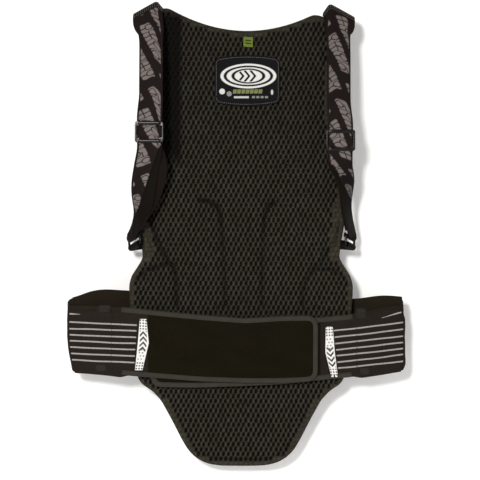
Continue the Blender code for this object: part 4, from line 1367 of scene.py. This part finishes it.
def make_tab(name, side, end, bar, down):
    """The webbing tab that comes out of the side seam and loops round the ring's lower bar."""
    root = np.array((side * (half_width(124.0) - 2.0), 3.0, 124.0))
    low_bar = end + down * RING_HEIGHT
    front = bar_frame(bar)[1]
    spread = np.linspace(-1, 1, 16)[:, None]
    root_line = root + np.array((0, 0, 5.5)) * np.sign(bar[2]) * spread
    bar_line = low_bar + bar * 13.5 * spread
    turns = radians(1) * np.linspace(80, -80, 12)
    loop = [bar_line + 3.3 * (front * cos(turn) + down * sin(turn)) for turn in turns]
    near = [root_line + np.array((0, 1.1, 0)), root_line - np.array((0, 1.1, 0))]
    shares = np.linspace(0, 1, 9)[:-1]
    going = [near[0] * (1 - share) + loop[0] * share for share in shares]
    coming = [near[1] * (1 - share) + loop[-1] * share for share in shares[::-1]]
    tab = slab(f"{name}_tab_webbing", np.array(going + loop + coming), 1.6, PLAIN_WEBBING)
    face_outwards(tab)
    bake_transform(tab)
    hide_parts(f"{name}_ring_tab")


# ---------------------------------------------------------------- belt

LEFT_WING = ((-214, -30, 55, 0.5), (-190, -25, 64, 2), (-174, -23, 66, 3), (-150, -24, 64.5, 6),
             (-128, -25, 63, 10.5), (-100, -26, 62, 13.8), (-62, -26, 62, 16.2))
RIGHT_WING = ((62, -34, 53, 16.2), (100, -34, 53, 13.8), (128, -34, 53, 10.5), (150, -33, 54, 6),
              (176, -31, 58, 3), (190, -31, 58, 1.5), (204, -33, 56.5, 0.5))
LEFT_FLAP = ((-217, -38, 49, -3), (-190, -39, 49, -9), (-165, -41, 48, -14.5), (-141, -44, 47, -17.2),
             (-103, -47, 43, -17.7), (-52, -51, 38, -17.7), (5, -53, 33.5, -17.7), (50, -53, 36.5, -17.7),
             (97, -51, 37, -17.7))
RIGHT_FLAP = ((-114, -58.5, 33, -12.2), (-60, -59.5, 31, -12.2), (0, -57.5, 29, -12.2), (50, -55, 31, -12.2),
              (97, -50, 34, -12.2), (138, -46, 38, -12.2), (158, -43, 42, -11.2), (180, -40, 46, -8),
              (206, -36, 50, -3))
BELT_THICK = 2.2
TRIM = 0.9
FRONT_OFF = BELT_THICK / 2 + 0.3 + TRIM / 2
ON_TRIM = FRONT_OFF + TRIM / 2


def belt_at(stations, x):
    """Low edge, top edge and depth of the belt's cloth, eased between its stations."""
    table = np.array(stations, float)
    made = []
    for item in (1, 2, 3):
        shifted = [np.interp(np.clip(x + move, table[0, 0], table[-1, 0]), table[:, 0], table[:, item])
                   for move in (-9, -4.5, 0, 4.5, 9)]
        made.append(np.average(shifted, axis=0, weights=(1, 2, 3, 2, 1)))
    return made


def belt_place(stations, x, share, off=0.0, follow=0.0):
    """A point of the belt: a share of its height, and `off` millimetres in front of its middle."""
    low, top, depth = belt_at(stations, x)
    z = low + (top - low) * share
    slope = (belt_at(stations, x + 1)[2] - belt_at(stations, x - 1)[2]) / 2
    flat = np.sqrt(1 + slope ** 2)
    depth = depth + follow * back_depth(0 * z, z)
    return np.stack([x + off * slope / flat, depth - off / flat, z], -1)


def on_belt(stations, x, z, off=0.0):
    """The same at a height in place of a share of it."""
    low, top, _ = belt_at(stations, x)
    return belt_place(stations, x, (z - low) / (top - low), off)


def heel(x_root, z):
    """How far the folded end is drawn in at a height."""
    if x_root < 0:
        return np.interp(-z, (-50, -20, 5, 25, 40), (0.5, 0.0, 1.0, 4.0, 7.5))
    return np.interp(-z, (-50, -35, -30, 28, 38), (-4.0, -3.2, -1.2, -1.2, -4.6))


def belt_grid(stations, x_from, x_to, low_share, top_share, off=0.0, follow=0.0, corner=0.0, wave=0.0,
              drawn=True):
    """Points over a piece of the belt.

    `corner` rounds its far end's corners, `wave` ruffles it, and `drawn` draws its root in as the heel says.
    """
    v, u = unit_grid(34, int(abs(x_to - x_from) / 2.5) + 2)
    x = x_from + (x_to - x_from) * u
    low, top, _ = belt_at(stations, x)
    inward = np.maximum(corner - np.abs(x_to - x), 0)
    cut = (corner - np.sqrt(corner ** 2 - inward ** 2)) / (top - low)
    if drawn:
        low_share = low_share * (1 - smooth((np.abs(x) - 140) / 14))
    share = low_share + cut + (top_share - low_share - 2 * cut) * v
    if drawn:
        x = x + heel(x_from, low + (top - low) * share) * smooth(1 - np.abs(x - x_from) / 40)
    made = belt_place(stations, x, share, off, follow)
    if wave:
        made[..., 1] -= wave * ripples(x, share * 90, 45, 61)
    return made if x_to > x_from else made[:, ::-1]


# The stripes' outer X and their inner X at the top and the bottom, then their outer and inner heights.
STRIPES_LEFT = ((-217, -131, -134), (25.7, 17.5, 9.6, 1.9, -6.1, -14, -22),
                (22.5, 15.2, 7.3, -0.6, -8.3, -16.5, -24.5))
STRIPES_RIGHT = ((206, 117, 122.5), (25, 16.5, 8, 0, -8, -15.5, -24), (15, 7, -1, -9, -16.5, -24.5, -32))


def make_stripes(side, stations, table, short_stripe):
    """The woven white stripes: thin raised cords that lie on the elastic."""
    (outer_x, inner_top, inner_low), outer_heights, inner_heights = table
    inner = np.linspace(inner_top, inner_low, len(inner_heights))
    runs = [*zip([outer_x] * len(inner), inner, outer_heights, inner_heights), short_stripe]
    for number, (x_from, x_to, z_from, z_to) in enumerate(runs, 1):
        columns = int(abs(x_to - x_from) / 0.9)
        v, u = unit_grid(5, columns)
        x = x_from + (x_to - x_from) * u
        short = number == len(runs)
        width = 0.8 * (np.clip((1 - u) * 1.4, 0.25, 1) if short else 1.0)
        middle = z_from + (z_to - z_from) * u + 0.25 * ripples(x, x * 0 + number * 30, 40, 70)
        x = x + heel(outer_x, middle) * smooth(1 - np.abs(x - outer_x) / 40)
        z = middle + (2 * v - 1) * width * (1 + 0.06 * np.sin(2 * pi * x / 1.7))
        grid = on_belt(stations, x, z, ON_TRIM + 0.12 + 0.1 * np.abs(np.sin(pi * x / 1.7)))
        if x_to < x_from:
            grid = grid[:, ::-1]
        stripe = slab(f"{side}_stripe_{number}", grid, 0.4, STRIPE)
        dress(stripe, f"{side}_belt_flap", "striped_elastic")


def flap_edge_tape(side, stations, x_from, x_to):
    """Folded tape round a flap's top edge, free end and lower edge."""
    width, corner = 6.2, 13.0
    name, body = f"{side}_flap", f"{side}_belt_flap"
    way = 1 if x_to > x_from else -1
    x = np.arange(x_from, x_to - way * corner, way * 2.5)
    low, top, _ = belt_at(stations, x)
    low_end, top_end, _ = (float(item) for item in belt_at(stations, np.array(float(x_to))))
    rise, fall = top_end * 0.97 + low_end * 0.03, low_end * 0.97 + top_end * 0.03
    arc = np.linspace(0, pi / 2, 8)[1:]
    upper = np.stack([x, top * 0.97 + low * 0.03], -1)
    first = np.stack([x_to - way * corner * (1 - np.sin(arc)), rise - corner * (1 - np.cos(arc))], -1)
    second = np.stack([x_to - way * corner * (1 - np.cos(arc)), fall + corner * (1 - np.sin(arc))], -1)
    lower = np.stack([x, low * 0.97 + top * 0.03], -1)[::-1]
    flat = rounded(np.concatenate([upper, first, second, lower]), 2.2, passes=2)
    run = unit(np.gradient(flat, axis=0))
    inward_flat = way * np.stack([run[:, 1], -run[:, 0]], -1)
    path = on_belt(stations, flat[:, 0], flat[:, 1])
    ahead = unit(np.gradient(path, axis=0))
    inward = unit(np.stack([inward_flat[:, 0], np.zeros(len(path)), inward_flat[:, 1]], -1))
    inward = unit(inward - ahead * (ahead * inward).sum(1, keepdims=True))
    front = np.cross(ahead, inward)
    front = front * -np.sign(front[:, 1])[:, None]
    thick = ON_TRIM + 0.75
    ring = np.array([(width, thick - 0.35), (width - 0.5, thick), (1.0, thick + 0.1), (0.15, thick * 0.6),
                     (-0.25, 0), (0.15, -thick * 0.6), (1.0, -thick), (width - 0.5, -thick),
                     (width, 0.35 - thick), (width, -0.3), (width, 0.3)])
    profile = np.broadcast_to(ring, (len(path), *ring.shape)).copy()
    along = np.cumsum(np.linalg.norm(np.gradient(flat, axis=0), axis=1))
    pucker = 0.22 * np.sin(2 * pi * along / 6.1) + 0.15 * ripples(along, along * 0, 27, 81)
    profile[:, 1:3, 1] += pucker[:, None]
    tape = sweep(f"{name}_tape", path, inward, front, profile, BELT_TAPE)
    dress(tape, body, "edge_tape", f"{name}_binding")
    line = path + inward * (width - 1.3) + front * (thick + 0.1)
    seam = seam_along(f"{name}_tape_stitches", line, front, GREY_THREAD, 3.2, 2.2, 0.26)
    dress(seam, body, "edge_tape")


def patch_print(flip):
    def paint(u, v):
        """Dots in threes at both ends and slanted bars between, on the white patch."""
        place = 62 - v if flip else v
        near = np.hypot(np.mod(u + 5.1, 3.4) - 1.7, np.mod(place, 3.6) - 1.8)
        ink = np.clip((1.05 - near) / 0.3 + 0.5, 0, 1) * ((place < 11) | (place > 51.5))
        slant = np.mod(place + 1.1 * np.abs(u), 6.4) - 3.2
        bars = np.clip((1.5 - np.abs(slant)) / 0.3 + 0.5, 0, 1) * inside_box(u, place, -4.4, 4.4, 24, 50)
        away = np.hypot(np.mod(u + 1.7 * np.floor(place / 4), 3.9) - 1.9, np.mod(place, 4) - 2)
        specks = np.clip((1.0 - away) / 0.3, 0, 1)
        return np.maximum(np.maximum(ink, bars), specks * inside_box(u, place, -4, 4, 13, 27))
    return paint


def make_patch(side, stations, table, flip):
    """A bent white patch: (height, left, right) rows, sewn round with dark thread."""
    heights, lefts, rights = np.array(table[::-1], float).T
    rows, columns = unit_grid(170, 34)
    z = heights[0] + (heights[-1] - heights[0]) * rows
    left, right = np.interp(z, heights, lefts), np.interp(z, heights, rights)
    x = left + (right - left) * columns
    mid = on_belt(stations, x, z, ON_TRIM + 0.45)
    patch = slab(f"{side}_patch_weave", mid, 0.6, PATCH, paint=patch_print(flip), relief=-0.05)
    dress(patch, f"{side}_belt_flap", "patch_cloth", f"{side}_patch")
    edge = mid[:, -1 if side == "left" else 0] + (0.9 if side == "left" else -0.9, -0.1, 0)
    fine = even(edge, 1.1)
    zig = fine + np.stack([np.where(np.arange(len(fine)) % 2, 0.9, -0.9), np.full(len(fine), -0.2),
                           np.zeros(len(fine))], -1)
    outward = np.tile(TO_WEARER, (len(zig) - 1, 1))
    seam = stitches(f"{side}_patch_stitches", zig[:-1], zig[1:], outward, DARK_THREAD, radius=0.32)
    dress(seam, f"{side}_belt_flap", "patch_cloth")


def bar_tack(side, kind, stations, x, z, wide, high):
    """A small dense block of crossing stitches."""
    starts, ends = [], []
    for number in range(7):
        share = number / 6 - 0.5
        starts += [(x - wide / 2, z + share * high), (x + share * wide, z - high / 2)]
        ends += [(x + wide / 2, z + share * high), (x + share * wide, z + high / 2)]
    placed = [on_belt(stations, *np.array(flat, float).T, ON_TRIM + 0.2) for flat in (starts, ends)]
    outward = np.tile(TO_WEARER, (len(starts), 1))
    tack = stitches(f"{side}_{kind}", *placed, outward, GREY_THREAD, radius=0.35)
    dress(tack, f"{side}_belt_flap", "belt_cloth")


def elastic_seam(side, stations, x_at):
    """A dark row of stitches that holds the elastic down, from its upper edge to its lower one."""
    z = np.arange(-36.0, 40.0, 1.0)
    x = x_at + 0.3 * ripples(z, z * 0, 25, 95)
    path = on_belt(stations, x, z, ON_TRIM + 0.35)
    seam = seam_along(f"{side}_elastic_stitches", path, TO_WEARER, DARK_THREAD, 2.6, 1.9, 0.4)
    dress(seam, f"{side}_belt_flap", "striped_elastic")


def make_fold(side, wing, flap, wing_x, flap_x, bend_x):
    """The cloth that turns from the rear wing into the front flap."""
    rows, columns = unit_grid(40, 13)
    wing_low, wing_top, wing_y = (float(item) for item in belt_at(wing, np.array(float(wing_x))))
    flap_low, flap_top, flap_y = (float(item) for item in belt_at(flap, np.array(float(flap_x))))
    angle = pi * columns
    mix = (1 - np.cos(angle)) / 2
    low = wing_low + (flap_low - wing_low) * mix
    top = wing_top + (flap_top - wing_top) * mix
    z = low + 1.0 + (top - low - 2.0) * rows
    ragged = 0.35 * ripples(z, z * 0, 14, 91)
    x = wing_x + (flap_x - wing_x) * mix + (bend_x - (wing_x + flap_x) / 2 + ragged) * np.sin(angle)
    x = x + heel(wing_x, z)
    y = wing_y + (flap_y - wing_y) * mix
    fold = slab(f"{side}_fold", np.stack([x, y, z], -1), 2.0, ELASTIC)
    face_outwards(fold)
    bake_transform(fold)


REAR_CLOTHS = (
    ("left", LEFT_WING, -214, -62, 0.153),
    ("right", RIGHT_WING, 62, 204, 0.143),
)
FLAPS = (
    ("left", LEFT_FLAP, -217, 95.5, 0.318),
    ("right", RIGHT_FLAP, 206, -112.5, 0.324),
)
# What is sewn on the flaps' fronts: root and tip X, shares of the height, the CAD node, look and slot.
FACINGS = (
    ("left", LEFT_FLAP, -216, -117, 0.05, 0.90, "left_elastic", ELASTIC, "striped_elastic"),
    ("right", RIGHT_FLAP, 205, 100.5, 0.05, 0.93, "right_elastic", ELASTIC, "striped_elastic"),
    ("left", LEFT_FLAP, -116.6, 91, 0.05, 0.95, "left_flap_face", VELOUR, "velour"),
    ("right", RIGHT_FLAP, 100, -106, 0.06, 0.94, "right_loop_panel", VELOUR, "velour"),
)


def make_belt_cloth():
    for side, wing, x_from, x_to, length in REAR_CLOTHS:
        grid = belt_grid(wing, x_from, x_to, 0, 1, follow=1.0, wave=0.35, drawn=side == "left")
        rear = slab(f"{side}_rear_cloth", grid, BELT_THICK, WING)
        dress(rear, "lumbar_panel", "belt_cloth", f"{side}_rear_wing")
    for side, stations, root, tip, length in FLAPS:
        grid = belt_grid(stations, root, tip, 0.04, 0.96, corner=12.0, wave=0.3)
        cloth = slab(f"{side}_flap_cloth", grid, BELT_THICK, FLAP)
        dress(cloth, f"{side}_belt_flap", "belt_cloth", f"{side}_flap")
    for side, stations, root, tip, low, top, node, look, slot in FACINGS:
        grid = belt_grid(stations, root, tip, low, top, off=FRONT_OFF, wave=0.3,
                         corner=9.0 if look is VELOUR else 0.0, drawn=look is ELASTIC)
        dress(slab(f"{node}_cloth", grid, TRIM, look), f"{side}_belt_flap", slot, node)
    hooks = belt_grid(LEFT_FLAP, 10, 88, 0.1, 0.9, off=-FRONT_OFF, drawn=False)
    dress(slab("left_hook_tape", hooks, TRIM, HOOK), "left_belt_flap", "hook_tape", "left_hook_panel")


def make_belt():
    make_belt_cloth()
    flap_edge_tape("left", LEFT_FLAP, -150.0, 97.0)
    flap_edge_tape("right", RIGHT_FLAP, 140.0, -114.0)
    make_stripes("left", LEFT_FLAP, STRIPES_LEFT, (-217, -203, 36.2, 35.4))
    make_stripes("right", RIGHT_FLAP, STRIPES_RIGHT, (206, 178, 38, 31))
    make_patch("left", LEFT_FLAP, ((30, -127, -119), (0, -129.5, -116), (-34, -133, -124)), False)
    make_patch("right", RIGHT_FLAP, ((20, 107, 115.5), (-12, 106.5, 118), (-43, 114, 122)), True)
    make_fold("left", LEFT_WING, LEFT_FLAP, -214, -217, -219.5)
    make_fold("right", RIGHT_WING, RIGHT_FLAP, 204, 206, 208.5)
    elastic_seam("left", LEFT_FLAP, -162.5)
    elastic_seam("right", RIGHT_FLAP, 146.0)
    bar_tack("left", "bar_tack", LEFT_FLAP, -172, 43, 15, 7)
    bar_tack("left", "low_bar_tack", LEFT_FLAP, -176, -32, 12, 7)
    bar_tack("right", "bar_tack", RIGHT_FLAP, 151, 37, 11, 11)
    bar_tack("right", "low_bar_tack", RIGHT_FLAP, 156, -36, 11, 7)


# ---------------------------------------------------------------- camera, light and stage

VIEW_WIDTH = 0.6096
VIEW_CENTRE = (-0.00127, 0.0, 0.1295)
VIEW_DISTANCE = 2.0
WALL = 40


def make_stage():
    camera = bpy.data.objects.new("camera", bpy.data.cameras.new("camera"))
    camera.data.lens = 36 * VIEW_DISTANCE / VIEW_WIDTH
    camera.data.sensor_width = 36
    camera.location = (VIEW_CENTRE[0], -VIEW_DISTANCE, VIEW_CENTRE[2])
    camera.rotation_euler = (radians(90), 0, 0)
    bpy.context.scene.collection.objects.link(camera)
    bpy.context.scene.camera = camera
    for name, place, size, power, tint in (
            ("key", (-0.52, -2.15, 0.66), 0.30, 41, (1.0, 0.985, 0.95)),
            ("fill", (1.3, -2.0, 0.5), 1.6, 5, (1.0, 0.98, 0.95)),
            ("rear", (0.6, 1.9, 1.3), 1.2, 40, (1.0, 1.0, 1.0))):
        light = bpy.data.lights.new(name, "AREA")
        light.size = size
        light.energy = power
        light.color = tint
        lamp = bpy.data.objects.new(name, light)
        lamp.location = place
        aim = Vector((0, 0, 0.13)) - Vector(place)
        lamp.rotation_euler = aim.to_track_quat("-Z", "Y").to_euler()
        bpy.context.scene.collection.objects.link(lamp)
    make_world()
    make_backdrop()
    scene = bpy.context.scene
    scene.view_settings.view_transform = "Standard"


def choose_shader(tree, switch, first, second, output):
    """Send the first shader to the output, or the second where the switch is 1."""
    choose = tree.nodes.new("ShaderNodeMixShader")
    tree.links.new(switch, choose.inputs[0])
    tree.links.new(first.outputs[0], choose.inputs[1])
    tree.links.new(second.outputs[0], choose.inputs[2])
    tree.links.new(choose.outputs[0], tree.nodes[output].inputs[0])


def make_world():
    """White to the camera, softer as a light."""
    world = bpy.data.worlds.new("studio")
    world.use_nodes = True
    tree = world.node_tree
    light = tree.nodes["Background"]
    light.inputs["Color"].default_value = (1.0, 0.97, 0.93, 1.0)
    light.inputs["Strength"].default_value = 0.2
    shown = tree.nodes.new("ShaderNodeBackground")
    shown.inputs["Color"].default_value = (1, 1, 1, 1)
    shown.inputs["Strength"].default_value = 1.0
    rays = tree.nodes.new("ShaderNodeLightPath")
    choose_shader(tree, rays.outputs["Is Camera Ray"], light, shown, "World Output")
    bpy.context.scene.world = world


def make_backdrop():
    """A pale floor below, and a white wall behind the panel that is clear from its back."""
    paper = bpy.data.materials.new("backdrop_paper")
    paper.use_nodes = True
    tree = paper.node_tree
    shader = tree.nodes["Principled BSDF"]
    for socket, value in (("Base Color", (0.93, 0.93, 0.93, 1)), ("Roughness", 1.0),
                          ("Specular IOR Level", 0.0), ("Emission Color", (1, 1, 1, 1)),
                          ("Emission Strength", 0.17)):
        shader.inputs[socket].default_value = value
    facing = tree.nodes.new("ShaderNodeNewGeometry")
    clear = tree.nodes.new("ShaderNodeBsdfTransparent")
    choose_shader(tree, facing.outputs["Backfacing"], shader, clear, "Material Output")
    size = 3000
    corners = [(-size, WALL, -400), (size, WALL, -400), (size, WALL, size), (-size, WALL, size)]
    wall = build("backdrop_wall", corners, [(0, 1, 2, 3)], paper)
    for ray in ("visible_diffuse", "visible_glossy", "visible_transmission", "visible_shadow"):
        setattr(wall, ray, False)
    angles = 2 * pi * np.arange(64) / 64
    ring = np.stack([1300 * np.cos(angles), 1300 * np.sin(angles), np.full(64, -400)], -1)
    floor = build("floor", ring, [tuple(range(64))], paper)


make_panel()
make_foam()
make_bindings()
make_plates()
make_label()
make_tag()
make_straps()
make_belt()
make_stage()
